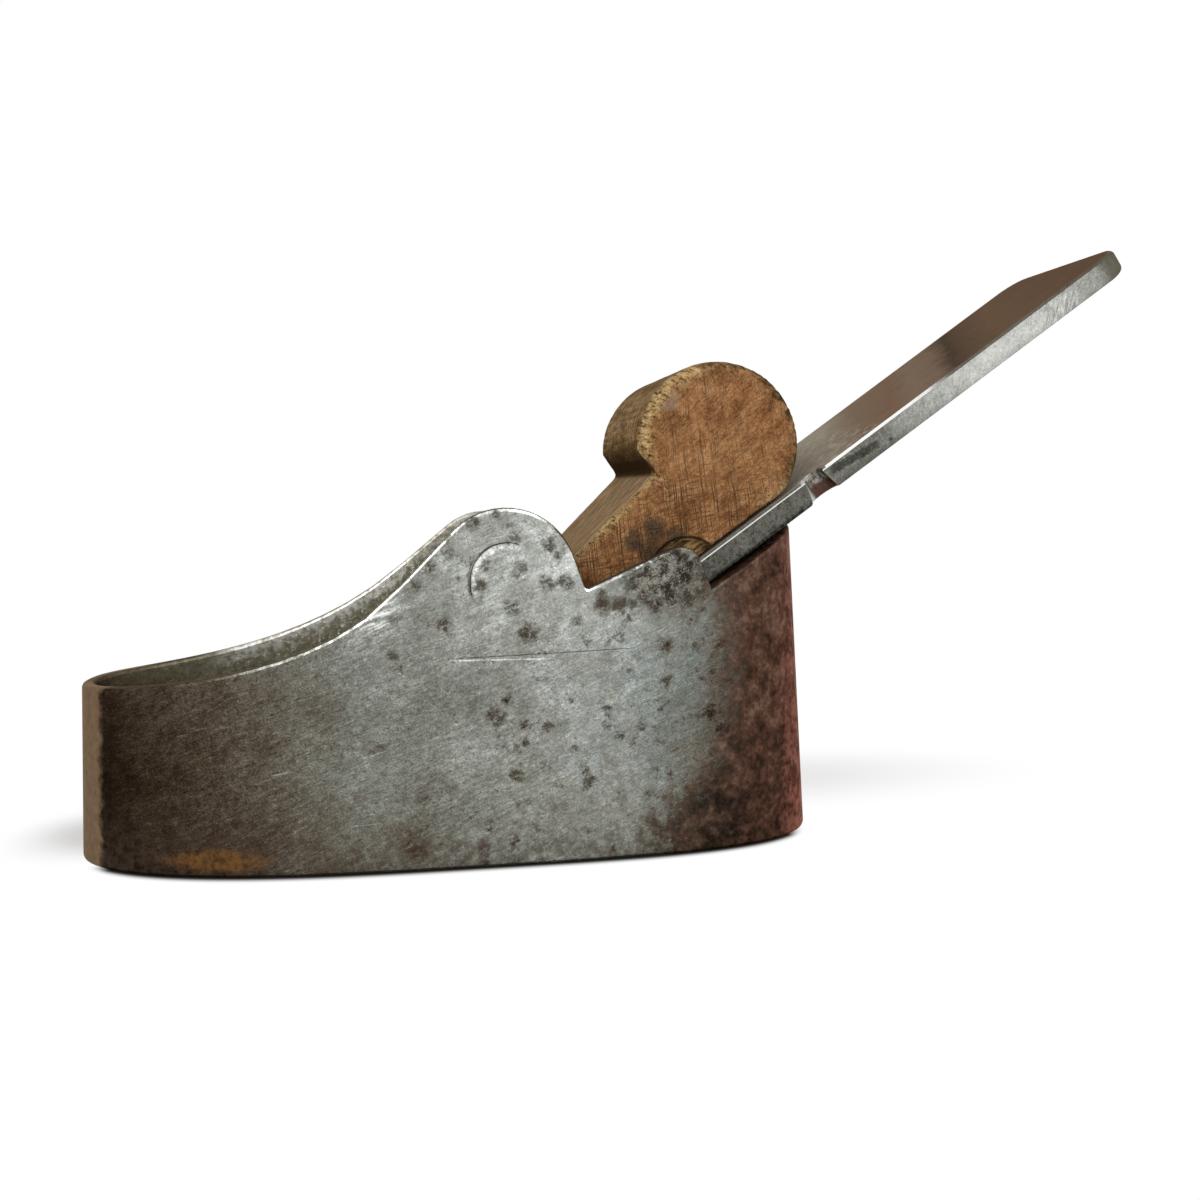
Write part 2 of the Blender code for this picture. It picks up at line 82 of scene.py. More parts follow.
class Recipe:
    """One procedural material round a Principled shader. Places are in millimetres."""

    def __init__(self, name):
        self.material = bpy.data.materials.new(name)
        self.material.use_nodes = True
        self.tree = self.material.node_tree
        self.shader = self.tree.nodes["Principled BSDF"]
        coordinates = self.tree.nodes.new("ShaderNodeTexCoord")
        self.normal = coordinates.outputs["Normal"]
        self.place = self.scaled(coordinates.outputs["Object"], 1 / MM)
        self.x, self.y, self.z = self.split(self.place)
        self.normal_x, self.normal_y, self.normal_z = self.split(self.normal)

    def feed(self, socket, value):
        """Link a node's output to a socket, or set it to a value."""
        if isinstance(value, bpy.types.NodeSocket):
            self.tree.links.new(value, socket)
        elif socket.type == "RGBA" and len(value) == 3:
            socket.default_value = (*value, 1.0)
        else:
            socket.default_value = value

    def node(self, kind, inputs, output=0, **settings):
        """An output of a new node, with inputs as (name or number, value)."""
        node = self.tree.nodes.new("ShaderNode" + kind)
        for name, value in settings.items():
            setattr(node, name, value)
        for name, value in inputs:
            self.feed(node.inputs[name], value)
        return node.outputs[output]

    def math(self, operation, *values):
        return self.node("Math", enumerate(values), operation=operation)

    def times(self, *values):
        total = values[0]
        for value in values[1:]:
            total = self.math("MULTIPLY", total, value)
        return total

    def add(self, first, *factors):
        """The first value plus the product of the others."""
        return self.math("ADD", first, self.times(*factors))

    def less(self, first, *factors):
        """The first value less the product of the others."""
        return self.math("SUBTRACT", first, self.times(*factors))

    def most(self, first, second):
        return self.math("MAXIMUM", first, second)

    def size(self, value):
        return self.math("ABSOLUTE", value)

    def rest(self, share):
        """What a share leaves of 1."""
        return self.less(1.0, share)

    def line(self, value, slope, level):
        """Height of a straight line at a value."""
        return self.math("MULTIPLY_ADD", value, slope, level)

    def vary(self, base, *swings):
        """A base value, swung by (texture, weight) pairs. A texture averages one half."""
        for texture, weight in swings:
            base = self.add(base, self.line(texture, weight, -0.5 * weight))
        return base

    def vector(self, operation, first, second=(0.0, 0.0, 0.0)):
        single = operation in ("LENGTH", "DISTANCE", "DOT_PRODUCT")
        inputs = ((0, first), (1, second))
        return self.node("VectorMath", inputs, "Value" if single else "Vector", operation=operation)

    def scaled(self, vector, scale):
        return self.node("VectorMath", ((0, vector), ("Scale", scale)), operation="SCALE")

    def split(self, vector):
        node = self.tree.nodes.new("ShaderNodeSeparateXYZ")
        self.feed(node.inputs[0], vector)
        return node.outputs

    def along(self, vector, tilt, lengths=(1.0, 1.0, 1.0), origin=(0.0, 0.0, 0.0)):
        """Coordinates tilted up in the side view, counted in the given lengths."""
        turn = (0.0, math.radians(-tilt), 0.0)
        inputs = (("Vector", vector), ("Location", origin), ("Rotation", turn), ("Scale", lengths))
        return self.node("Mapping", inputs, vector_type="TEXTURE")

    def noise(self, vector, scale=1.0, detail=3.0, roughness=0.55, colour=False):
        """Cloudy noise with scale features per millimetre."""
        inputs = (("Vector", vector), ("Scale", scale), ("Detail", detail), ("Roughness", roughness))
        return self.node("TexNoise", inputs, "Color" if colour else 0)

    def fibres(self, vector, tilt, lengths, detail, roughness=0.55):
        """Noise drawn out to the given lengths along a tilted direction."""
        return self.noise(self.along(vector, tilt, lengths), 1.0, detail, roughness)

    def marks(self, vector, tilt, lengths, detail, low, high):
        """Separate fibres: where such noise rises from low to high."""
        return self.step(self.fibres(vector, tilt, lengths, detail), low, high)

    def step(self, value, low, high, start=0.0, end=1.0, kind="SMOOTHSTEP"):
        """A step from start to end while value goes from low to high."""
        names = ("Value", "From Min", "From Max", "To Min", "To Max")
        inputs = zip(names, (value, low, high, start, end))
        return self.node("MapRange", inputs, interpolation_type=kind)

    def window(self, value, low, high, soft):
        """1 between low and high, fading to 0 softly on either side."""
        rise = self.step(value, low - soft, low + soft)
        return self.times(rise, self.step(value, high + soft, high - soft))

    def mix(self, share, first, second):
        return self.node("Mix", (("Factor", share), (6, first), (7, second)), 2, data_type="RGBA")

    def over(self, colour, layer, *shares):
        """A colour under a layer that covers the product of the shares."""
        return self.mix(self.times(*shares), colour, layer)

    def tinted(self, colour, tint, *shares):
        """A colour multiplied by a tint, as far as the product of the shares."""
        return self.over(colour, self.vector("MULTIPLY", colour, tint), *shares)

    def ramp(self, value, stops):
        """A colour, or a grey level, between (value, colour) stops."""
        node = self.tree.nodes.new("ShaderNodeValToRGB")
        self.feed(node.inputs[0], value)
        marks = node.color_ramp.elements
        while len(marks) < len(stops):
            marks.new(1.0)
        for mark, (place, colour) in zip(marks, stops):
            mark.position = place
            mark.color = (*colour, 1.0) if isinstance(colour, tuple) else (colour, colour, colour, 1.0)
        return node.outputs[0]

    def profile(self, value, stops):
        """A curve through (value, height) stops, straight between them."""
        low, high = stops[0][0], stops[-1][0]
        share = self.step(value, low, high, kind="LINEAR")
        return self.ramp(share, [((place - low) / (high - low), level) for place, level in stops])

    def warped(self, vector, scale, amount, detail=2.0):
        """The place, shifted by up to about half of amount in millimetres."""
        wander = self.noise(vector, scale, detail, colour=True)
        centred = self.vector("SUBTRACT", wander, (0.5, 0.5, 0.5))
        return self.vector("ADD", vector, self.scaled(centred, amount))

    def spot(self, vector, centre, radius, core=0.25, strength=1.0):
        """A soft spot: full strength within core times its radius."""
        return self.step(self.vector("DISTANCE", vector, centre), radius, core * radius, 0.0, strength)

    def spots(self, vector, places):
        """The union of soft spots, as (centre, radius, strength)."""
        total = None
        for centre, radius, strength in places:
            mask = self.spot(vector, centre, radius, 0.2, strength)
            total = mask if total is None else self.most(total, mask)
        return total

    def finish(self, colour, roughness, metallic, height, depth, edge_tint=(1.0, 1.0, 1.0)):
        """Set the shader, with a bump as deep as depth in millimetres."""
        bump = self.node("Bump", (("Distance", depth * MM), ("Height", height)))
        names = ("Base Color", "Roughness", "Metallic", "Normal", "Specular Tint", "Specular IOR Level")
        for name, value in zip(names, (colour, roughness, metallic, bump, edge_tint, SPECULAR_LEVEL)):
            self.feed(self.shader.inputs[name], value)
        return self.material


# Iron

# Tone of the band from toe to heel, as (x, tone): partly the iron's own patina, partly a painted sheen
# brightest in the middle
BAND_TONE = (
    (-50.0, 0.07), (-46.0, 0.075), (-41.0, 0.16), (-33.0, 0.255), (-22.0, 0.42), (-10.0, 0.55),
    (3.0, 0.64), (14.0, 0.7), (21.5, 0.69), (24.5, 0.6), (27.5, 0.54), (31.0, 0.46),
    (34.0, 0.34), (50.0, 0.3),
)
# What height adds to the tone, as (z, tone), counted from HEIGHT_ZERO
HEIGHT_TONE = ((0.0, 0.4), (6.0, 0.46), (20.0, 0.5), (34.0, 0.58), (40.0, 0.61), (46.0, 0.6))
HEIGHT_ZERO = 0.5
# Share of the fine grain that shows along the band, as (x, share)
LIVELINESS = (
    (-50.0, 0.75), (-43.0, 0.78), (-30.0, 0.95), (-15.0, 0.92), (0.0, 0.8), (15.0, 0.74), (50.0, 0.74),
)
# Share of the fine grain that shifts the tone, and the contrast of the rest
FINE_TO_TONE = 0.35
FINE_CONTRAST = 14.0
# Colour of the iron from brown to bright, as (tone, colour)
IRON_TONES = (
    (0.0, (0.009, 0.006, 0.004)), (0.1, (0.022, 0.013, 0.008)), (0.17, (0.041, 0.027, 0.017)),
    (0.26, (0.073, 0.054, 0.037)), (0.42, (0.137, 0.124, 0.098)), (0.55, (0.194, 0.2, 0.172)),
    (0.69, (0.29, 0.298, 0.266)), (0.8, (0.42, 0.43, 0.4)), (1.0, (0.86, 0.87, 0.84)),
)
# The same for the rusted heel
HEEL_BROWNS = (
    (0.1, (0.014, 0.008, 0.005)), (0.36, (0.046, 0.023, 0.015)), (0.62, (0.098, 0.044, 0.029)),
    (0.95, (0.185, 0.108, 0.078)),
)
# Height of the far rim from toe to hump, as (x, z)
RIM_LINE = (
    (-50.0, 23.2), (-40.0, 24.0), (-33.0, 25.0), (-24.7, 27.4), (-16.6, 31.0), (-10.4, 34.6),
    (-7.5, 37.2), (-0.6, 43.0),
)
RIM_SCALE = 50.0
# Tone of the far wall's inner face, as (x, tone)
FAR_TONE = (
    (-50.0, 0.4), (-44.0, 0.4), (-37.0, 0.47), (-30.0, 0.57), (-22.0, 0.64), (-12.0, 0.6), (0.0, 0.5),
)
# Dark pits and stains on the near side, as (x, z, radius, strength)
NEAR_BLOTCHES = (
    (7.9, 30.0, 2.1, 1.0), (-2.6, 31.5, 1.6, 0.85), (5.9, 33.4, 1.7, 0.75), (10.4, 36.5, 1.6, 0.9),
    (12.7, 36.6, 1.9, 1.0), (10.7, 41.2, 1.5, 0.95), (6.3, 42.5, 1.4, 0.7), (26.0, 28.2, 2.0, 1.0),
    (22.6, 26.6, 1.2, 0.75), (18.0, 20.0, 1.1, 0.9), (3.6, 19.6, 1.8, 0.95), (5.3, 21.6, 1.3, 0.9),
    (7.3, 18.4, 1.2, 0.9), (10.2, 17.8, 1.1, 0.75), (30.0, 18.4, 1.4, 0.9), (26.2, 23.5, 1.6, 0.9),
    (25.8, 15.3, 1.2, 0.8), (7.5, 16.1, 1.2, 0.7), (6.3, 12.0, 1.5, 0.75), (17.6, 33.7, 2.1, 1.0),
    (23.2, 34.6, 2.2, 1.0), (19.8, 16.5, 1.2, 0.8), (-5.9, 36.5, 1.2, 0.7), (1.9, 36.4, 1.4, 0.95),
    (19.6, 33.8, 1.9, 1.0), (6.9, 38.3, 1.4, 0.7), (-9.0, 28.0, 1.3, 0.6), (14.0, 15.0, 1.1, 0.65),
    (0.8, 44.2, 1.5, 0.8), (3.9, 45.0, 1.3, 0.7), (-4.3, 38.6, 1.4, 0.7), (-2.1, 40.6, 1.4, 0.7),
    (11.8, 39.8, 1.3, 0.85), (2.8, 38.9, 1.3, 0.75), (14.2, 31.8, 1.3, 0.65), (22.8, 17.4, 1.3, 0.8),
    (30.5, 32.0, 2.2, 0.9), (31.5, 35.2, 2.4, 0.9), (21.4, 33.8, 1.5, 1.0), (24.6, 33.3, 1.8, 1.0),
    (29.8, 32.9, 1.9, 1.0), (17.4, 35.0, 1.3, 0.9), (32.8, 31.1, 1.8, 1.0),
)
# Red-brown rust spots along the foot, likewise
RUST_SPOTS = (
    (-6.6, 2.7, 2.2, 1.0), (1.9, 2.6, 1.9, 0.9), (-6.6, 4.8, 1.4, 0.8), (24.2, 5.1, 1.7, 0.85),
    (27.5, 3.9, 1.8, 0.9), (32.5, 2.3, 2.8, 0.95), (-5.6, 9.4, 1.3, 0.65), (-2.0, 10.3, 1.2, 0.6),
    (10.9, 7.4, 1.1, 0.7), (19.8, 7.9, 1.1, 0.75), (19.8, 16.5, 1.3, 0.7),
)
# Orange patch on the foot: place, half height, and length over height
ORANGE_PLACE = (-31.0, 2.2)
ORANGE_RADIUS = 2.4
ORANGE_STRETCH = 4.0
# Crusted stain on the ear: place, half length, and length over height
EAR_STAIN = (26.0, 37.2)
EAR_RADIUS = 9.0
EAR_STRETCH = 1.35
# Long scratch on the near side and its pale companion, as ends and half width
SCRATCH = ((-1.5, 27.2), (21.3, 27.9), 0.12)
PALE_SCRATCH = ((-1.5, 26.95), (10.5, 26.9), 0.14)
# Short bright scratches there, likewise, and the length of their soft ends
BRIGHT_SCRATCHES = (((-24.2, 13.0), (-22.0, 13.4), 0.1, 0.3), ((-14.6, 6.26), (-10.7, 6.5), 0.1, 0.3))
# Glare on the rim's flank and sheen on the hump, as middle and radius
FLANK_GLARE = ((-11.3, NEAR_WALL, 32.4), 6.0)
HUMP_SHEEN = ((5.0, NEAR_WALL, 35.0), 13.0)
# Direction in which the bar's seam shows, in the side view
SEAM_ANGLE = math.radians(137.0)
SEAM_WAY = (math.cos(SEAM_ANGLE), 0.0, math.sin(SEAM_ANGLE))
# Colours of stains, rust and edges, and of painted highlights, reflections and glints, some as a dark and a
# light one
BLOTCH_BROWN = (0.046, 0.038, 0.029)
CRUSTS = ((0.01, 0.008, 0.005), (0.34, 0.325, 0.275))
RIM_BROWNS = ((0.035, 0.022, 0.014), (0.14, 0.095, 0.062))
REAR_EDGE_BROWN = (0.04, 0.023, 0.015)
FAR_RIM_LIT_GREYS = ((0.16, 0.145, 0.12), (0.62, 0.6, 0.54))
FAR_GLINT_WHITES = ((0.5, 0.48, 0.4), (1.0, 0.99, 0.93))
FOOT_BROWN = (0.072, 0.052, 0.037)
RUST_BROWN = (0.052, 0.029, 0.019)
ORANGE_RUSTS = ((0.068, 0.036, 0.016), (0.225, 0.103, 0.033))
HEEL_END_REFLECTION_REDS = ((0.12, 0.042, 0.028), (0.34, 0.128, 0.094))
TOE_FRONT_LIT_TANS = ((0.115, 0.072, 0.041), (0.31, 0.212, 0.13))
# Tints that multiply the iron's colour
COOL_REFLECTION_TINT = (0.93, 1.0, 1.08)
WARM_TINT = (0.82, 0.74, 0.62)
FAR_TINT = (1.0, 0.9, 0.68)
HEEL_TINT = (0.92, 1.14, 1.18)
# Tint of grazing reflections, metal share and bump depth
IRON_EDGE_TINT = (0.62, 0.58, 0.54)
IRON_METAL = 0.85
IRON_BUMP = 0.035


def near_line(r, start, end, width, soft=1.5):
    """A thin straight line on the near side, with soft ends."""
    slope = (end[1] - start[1]) / (end[0] - start[0])
    level = r.line(r.x, slope, start[1] - slope * start[0])
    off = r.size(r.less(r.z, level))
    return r.times(r.step(off, width, 0.3 * width), r.window(r.x, start[0], end[0], soft), r.near)


def on_near_wall(places):
    """Spots on the near wall from (x, z, radius, strength)."""
    return [((x, NEAR_WALL, z), radius, strength) for x, z, radius, strength in places]


def iron_surface(name):
    """A recipe with the iron's textures, and where a point lies on it."""
    r = Recipe(name)
    outward = r.vector("DOT_PRODUCT", r.vector("MULTIPLY", r.place, (1.0, 1.0, 0.0)), r.normal)
    r.inside = r.step(outward, 0.2, -0.2)
    r.outside = r.rest(r.inside)
    r.near = r.step(r.normal_y, -0.3, -0.6)
    r.far = r.times(r.inside, r.step(r.y, -4.0, 6.0))
    r.rim = r.step(r.normal_z, 0.55, 0.8)
    r.clouds = r.noise(r.place, 0.11, 3.0, 0.55)
    r.patches = r.noise(r.place, 0.36, 5.0, 0.62)
    r.mottle = r.noise(r.place, 1.1, 4.0, 0.65)
    r.grain = r.noise(r.place, 4.2, 3.0, 0.7)
    r.ragged = r.noise(r.place, 0.8, 6.0, 0.74)
    r.wander = r.warped(r.place, 0.3, 0.8)
    r.drifting = r.warped(r.place, 0.5, 1.6, 3.0)
    r.drifting = r.warped(r.drifting, 1.6, 0.9, 3.0)
    r.strokes = r.fibres(r.wander, 27.0, (3.4, 1.0, 0.45), 4.0, 0.68)
    r.lively = r.times(r.profile(r.x, LIVELINESS), r.step(r.z, 28.0, 34.0, 1.0, 0.85))
    return r


def iron_fine(r):
    """The finest grain, about 0: strokes, hairs, flecks, glints and pinholes."""
    hairs = r.fibres(r.wander, 20.0, (1.5, 1.0, 0.1), 2.0, 0.6)
    flecks = r.marks(r.wander, 24.0, (1.0, 1.0, 0.25), 2.0, 0.62, 0.72)
    glints = r.marks(r.wander, 14.0, (4.0, 1.0, 0.11), 1.0, 0.68, 0.74)
    crossing = r.marks(r.wander, -48.0, (1.3, 1.0, 0.09), 1.0, 0.66, 0.74)
    pinholes = r.step(r.noise(r.place, 3.4, 2.0, 0.6), 0.36, 0.28)
    fine = r.vary(0.0, (r.mottle, 0.36), (r.grain, 0.7), (r.strokes, 0.34), (hairs, 0.4))
    for mark, weight in ((flecks, 0.1), (glints, 0.16), (crossing, 0.12), (pinholes, -0.22)):
        fine = r.add(fine, mark, weight)
    return r.times(fine, r.lively)


def iron_stains(r):
    """Set where the iron is blotched, crusted on the ear, and pitted."""
    shreds = r.fibres(r.drifting, 27.0, (0.85, 0.6, 0.5), 4.0, 0.7)
    crust = r.times(r.window(r.x, 16.5, 33.5, 1.5), r.window(r.z, 31.5, 36.0, 1.5), 0.08)
    r.broken = r.step(r.add(shreds, crust), 0.39, 0.56, 0.22, 1.0)
    field = r.spots(r.drifting, on_near_wall(NEAR_BLOTCHES))
    stray = r.vary(r.noise(r.drifting, 0.42, 3.0, 0.55), (r.clouds, 0.3))
    stray = r.times(r.step(stray, 0.55, 0.74), r.step(r.x, -34.0, 12.0, 0.1, 0.75))
    field = r.step(r.vary(r.most(field, stray), (r.ragged, 1.0)), 0.05, 1.05)
    ear_place = r.vector("MULTIPLY", r.drifting, (1.0, 0.0, EAR_STRETCH))
    ear = r.spot(ear_place, (EAR_STAIN[0], 0.0, EAR_STRETCH * EAR_STAIN[1]), EAR_RADIUS, 0.35, 0.95)
    flaked = r.noise(r.drifting, 0.6, 6.0, 0.75)
    flaked = r.step(r.vary(flaked, (r.ragged, 0.5), (r.grain, 0.4)), 0.34, 0.56)
    r.ear = r.times(ear, r.near, flaked)
    r.blotch = r.most(r.times(field, r.broken), r.times(r.ear, 0.9))
    pitted = r.vary(r.noise(r.place, 1.7, 4.0, 0.62), (r.patches, 0.4))
    r.pitted = r.times(r.step(pitted, 0.61, 0.7), r.step(r.x, -40.0, 8.0, 0.35, 1.0))


def iron_tone(r, fine):
    """Tone from toe to heel, with clouds, fine grain, sheen and stains."""
    tone = r.profile(r.vary(r.x, (r.clouds, 7.0), (r.patches, 6.0)), BAND_TONE)
    tone = r.less(r.add(tone, r.profile(r.z, HEIGHT_TONE)), HEIGHT_ZERO)
    cloudy = r.step(r.x, -34.0, 0.0, 0.25, 1.0)
    for texture, weight in ((r.clouds, 0.34), (r.patches, 0.38)):
        tone = r.add(tone, r.vary(0.0, (texture, weight)), cloudy)
    tone = r.line(fine, FINE_TO_TONE, tone)
    glare = r.spot(r.place, *FLANK_GLARE, core=0.1)
    tone = r.add(tone, glare, r.step(r.strokes, 0.3, 0.7, 0.02, 0.34))
    tone = r.add(tone, r.spot(r.place, *HUMP_SHEEN, core=0.1), 0.05)
    tone = r.less(tone, r.blotch, r.step(r.x, -46.0, -10.0, 0.08, 0.43))
    return r.less(tone, r.pitted, r.lively, 0.24)


def iron_scratches(r, tone):
    """Draw the long dark scratch, its pale companion and the short bright ones."""
    r.scratch = r.times(near_line(r, *SCRATCH), r.step(r.mottle, 0.3, 0.55, 0.4, 1.0))
    tone = r.less(tone, r.scratch, 0.32)
    tone = r.add(tone, near_line(r, *PALE_SCRATCH), 0.2)
    for scratch in BRIGHT_SCRATCHES:
        tone = r.add(tone, near_line(r, *scratch), 0.22)
    return tone


def iron_seam(r, tone):
    """Draw the seam round the bar's end: a broken lip with a painted highlight, and a dark crack."""
    from_bar = r.vector("SUBTRACT", r.vector("MULTIPLY", r.place, SIDE_VIEW), (BAR_X, 0.0, BAR_Z))
    reach = r.vector("LENGTH", from_bar)
    side = r.math("DIVIDE", r.vector("DOT_PRODUCT", from_bar, SEAM_WAY), reach)
    side = r.times(r.step(r.vary(side, (r.patches, 0.4)), 0.2, 0.55), r.near)
    lip = r.times(r.window(r.vary(reach, (r.patches, 1.0), (r.mottle, 0.8)), 3.95, 4.48, 0.14), side)
    crack = r.window(r.vary(reach, (r.ragged, 1.4)), 4.6, 4.9, 0.15)
    r.crack = r.times(crack, side, r.step(r.x, 3.5, 1.0, 0.25, 1.0))
    # The lip's brightening is a painted highlight.
    tone = r.add(tone, lip, r.step(r.ragged, 0.42, 0.6, 0.0, 0.22))
    return r.less(tone, r.crack, 0.3)


def iron_edges(r, tone):
    """Brighten the outer arris, partly polished where hands rub it and partly a painted highlight, less on
    the hump's rear flank, and darken the rim.
    """
    arris = r.times(r.window(r.normal_z, 0.24, 0.5, 0.05), r.outside)
    # Painted highlight along the outer arris, partly real polish, weaker on the hump's rear flank.
    polish_and_highlight = r.times(arris, r.step(r.vary(r.x, (r.patches, 12.0)), -36.0, -24.0), r.step(r.x, 28.5, 25.0))
    polish_and_highlight = r.times(polish_and_highlight, r.step(r.window(r.x, 9.0, 14.2, 1.0), 0.0, 1.0, 1.0, 0.15))
    rubbed_and_lit = r.step(r.vary(r.mottle, (r.patches, 0.8)), 0.3, 0.65, 0.04, 0.27)
    tone = r.add(tone, polish_and_highlight, rubbed_and_lit)
    return r.less(tone, r.rim, 0.1)


def iron_far_wall(r, tone):
    """Tone the far wall's inner face, darker further below its rim as painted shade, and set where a
    painted white glint lies below the rim.
    """
    rim_level = r.profile(r.x, [(at, level / RIM_SCALE) for at, level in RIM_LINE])
    below_rim = r.less(r.times(rim_level, RIM_SCALE), r.z)
    station = r.vary(r.x, (r.patches, 8.0))
    # Painted shade: the far wall's inner face is lighter near its rim and darker further below it.
    far_tone = r.less(r.profile(station, FAR_TONE), r.step(below_rim, 1.0, 7.0, -0.08, 0.12))
    far_tone = r.vary(far_tone, (r.mottle, 0.3))
    blobs = r.noise(r.place, 1.1, 1.5, 0.5)
    flaking = r.vary(r.step(below_rim, 3.4, 0.0), (blobs, 1.3), (r.ragged, 1.3))
    glint_specks = r.step(r.noise(r.place, 1.7, 1.0), 0.6, 0.72)
    glint_specks = r.times(glint_specks, r.step(below_rim, 6.5, 3.5), 0.8)
    flaking = r.most(r.step(flaking, 0.05, 0.95), glint_specks)
    r.flaking = r.times(flaking, r.step(station, -37.0, -29.0), r.step(r.x, -4.0, -10.0, 0.45, 1.0))
    return r.add(tone, r.far, r.less(far_tone, tone))


def iron_colour(r, tone, fine):
    """Colour from the tone, with stains, tints and coloured edges, including painted reflection, highlights
    and glint.
    """
    glitter = r.math("POWER", FINE_CONTRAST, fine)
    colour = r.scaled(r.ramp(tone, IRON_TONES), glitter)
    # Painted reflection: a cool bluish tint low on the band between its middle and the heel.
    cool_reflection = r.times(r.step(r.vary(r.x, (r.patches, 16.0)), 4.0, 26.0), r.window(r.z, 10.0, 29.0, 5.0))
    colour = r.tinted(colour, COOL_REFLECTION_TINT, cool_reflection, r.step(r.clouds, 0.35, 0.6), 0.8)
    colour = r.over(colour, BLOTCH_BROWN, r.blotch, 0.36, r.outside)
    crusted = r.vary(r.ragged, (r.grain, 0.35), (r.patches, 0.5))
    ear_colour = r.mix(r.step(crusted, 0.46, 0.64), *CRUSTS)
    colour = r.over(colour, r.scaled(ear_colour, glitter), r.ear, 0.75)
    warm = r.step(r.vary(r.z, (r.patches, 14.0), (r.x, -0.3)), 22.0, 6.0)
    colour = r.tinted(colour, WARM_TINT, warm, r.step(r.ragged, 0.35, 0.65), r.outside, 0.35)
    colour = r.tinted(colour, FAR_TINT, r.far, 0.9)
    colour = r.over(colour, r.mix(r.mottle, *RIM_BROWNS), r.rim, 0.75)
    rear_edge = r.times(r.step(r.normal_x, 0.12, 0.4), r.window(r.x, 8.5, 14.6, 0.6))
    colour = r.over(colour, REAR_EDGE_BROWN, rear_edge, r.step(r.z, 34.5, 36.0), r.outside, 0.9)
    # Painted highlight: the far rim's top is painted a lighter grey.
    lit_far_rim = r.step(r.vary(r.x, (r.patches, 8.0)), -38.0, -30.0)
    greys = r.mix(r.mottle, *FAR_RIM_LIT_GREYS)
    colour = r.over(colour, greys, r.rim, r.step(r.y, 4.0, 10.0), lit_far_rim, 0.8)
    # Painted glint: white patches and specks below the far rim.
    flakes_and_glint = r.mix(r.step(r.mottle, 0.36, 0.6), *FAR_GLINT_WHITES)
    return r.over(colour, flakes_and_glint, r.flaking, r.far, 0.95)


def iron_foot(r, colour):
    """Brown dirt, rust spots and one orange patch along the foot."""
    dirt_and_shade = r.times(r.step(r.vary(r.z, (r.patches, 6.0)), 10.0, 0.5), r.step(r.ragged, 0.36, 0.62))
    colour = r.over(colour, FOOT_BROWN, dirt_and_shade, r.near, 0.62)
    rust = r.spots(r.drifting, on_near_wall(RUST_SPOTS))
    colour = r.over(colour, RUST_BROWN, rust, r.broken, r.step(r.z, 18.0, 12.0), r.near, 0.9)
    orange_place = r.vector("MULTIPLY", r.place, (1.0 / ORANGE_STRETCH, 0.0, 1.0))
    orange_centre = (ORANGE_PLACE[0] / ORANGE_STRETCH, 0.0, ORANGE_PLACE[1])
    orange = r.spot(orange_place, orange_centre, ORANGE_RADIUS, 0.2)
    orange = r.step(r.vary(orange, (r.ragged, 1.5)), 0.1, 1.0)
    return r.over(colour, r.mix(r.step(r.mottle, 0.3, 0.7), *ORANGE_RUSTS), orange, r.near, 0.85)


def iron_ends(r, colour):
    """Red-brown heel with a redder end of painted reflection mottled like rust, and the toe's tan front, a
    painted highlight.
    """
    heel_at = r.add(r.x, r.step(r.z, 16.0, 3.0, -1.4, 8.0))
    heel_at = r.add(heel_at, r.step(r.z, 30.0, 37.0, 0.0, 2.5))
    heel = r.step(r.vary(heel_at, (r.patches, 14.0), (r.ragged, 16.0)), 30.0, 36.0)
    heel_tone = r.vary(0.52, (r.patches, 1.6), (r.mottle, 1.1), (r.ragged, 1.0))
    heel_tone = r.less(heel_tone, r.step(r.z, 22.0, 6.0, -0.06, 0.12))
    heel_colour = r.tinted(r.ramp(heel_tone, HEEL_BROWNS), HEEL_TINT, r.step(r.x, 40.0, 33.0))
    colour = r.over(colour, heel_colour, heel, 0.94)
    # Painted reflection: the heel's end is painted redder, mottled like rust.
    reflecting_heel_end = r.step(r.vary(r.x, (r.mottle, 3.0)), 42.0, 49.0)
    rust_like_mottle = r.step(r.vary(r.patches, (r.ragged, 0.9), (r.mottle, 0.6)), 0.32, 0.66)
    reflected_reds = r.mix(rust_like_mottle, *HEEL_END_REFLECTION_REDS)
    colour = r.over(colour, reflected_reds, reflecting_heel_end, r.outside, r.step(r.y, 3.0, -5.0, 0.25, 0.9))
    # Painted highlight: the toe's rounded front is painted a lighter tan where it faces the light.
    lit_toe_front = r.step(r.vary(r.y, (r.mottle, 0.9), (r.patches, 1.0)), -9.3, -8.3)
    return r.over(colour, r.mix(r.mottle, *TOE_FRONT_LIT_TANS), lit_toe_front, r.step(r.x, -41.0, -45.0), r.outside, 0.9)


def iron_material(name):
    """Old wrought iron: brown at its ends, worn grey between with a painted sheen brightest mid-way, pitted
    and scratched.
    """
    r = iron_surface(name)
    iron_stains(r)
    fine = iron_fine(r)
    tone = iron_tone(r, fine)
    for feature in (iron_scratches, iron_seam, iron_edges, iron_far_wall):
        tone = feature(r, tone)
    colour = iron_colour(r, tone, fine)
    colour = iron_foot(r, colour)
    colour = iron_ends(r, colour)
    height = r.add(r.times(r.grain, 0.5), r.strokes, 0.6)
    for groove in (r.blotch, r.pitted, r.scratch, r.crack):
        height = r.less(height, groove)
    roughness = r.step(tone, 0.1, 0.9, 0.62, 0.32)
    metal = r.less(IRON_METAL, r.far, r.step(r.flaking, 0.0, 0.8, 0.45, 0.0))
    return r.finish(colour, roughness, metal, height, IRON_BUMP, IRON_EDGE_TINT)


# Blade

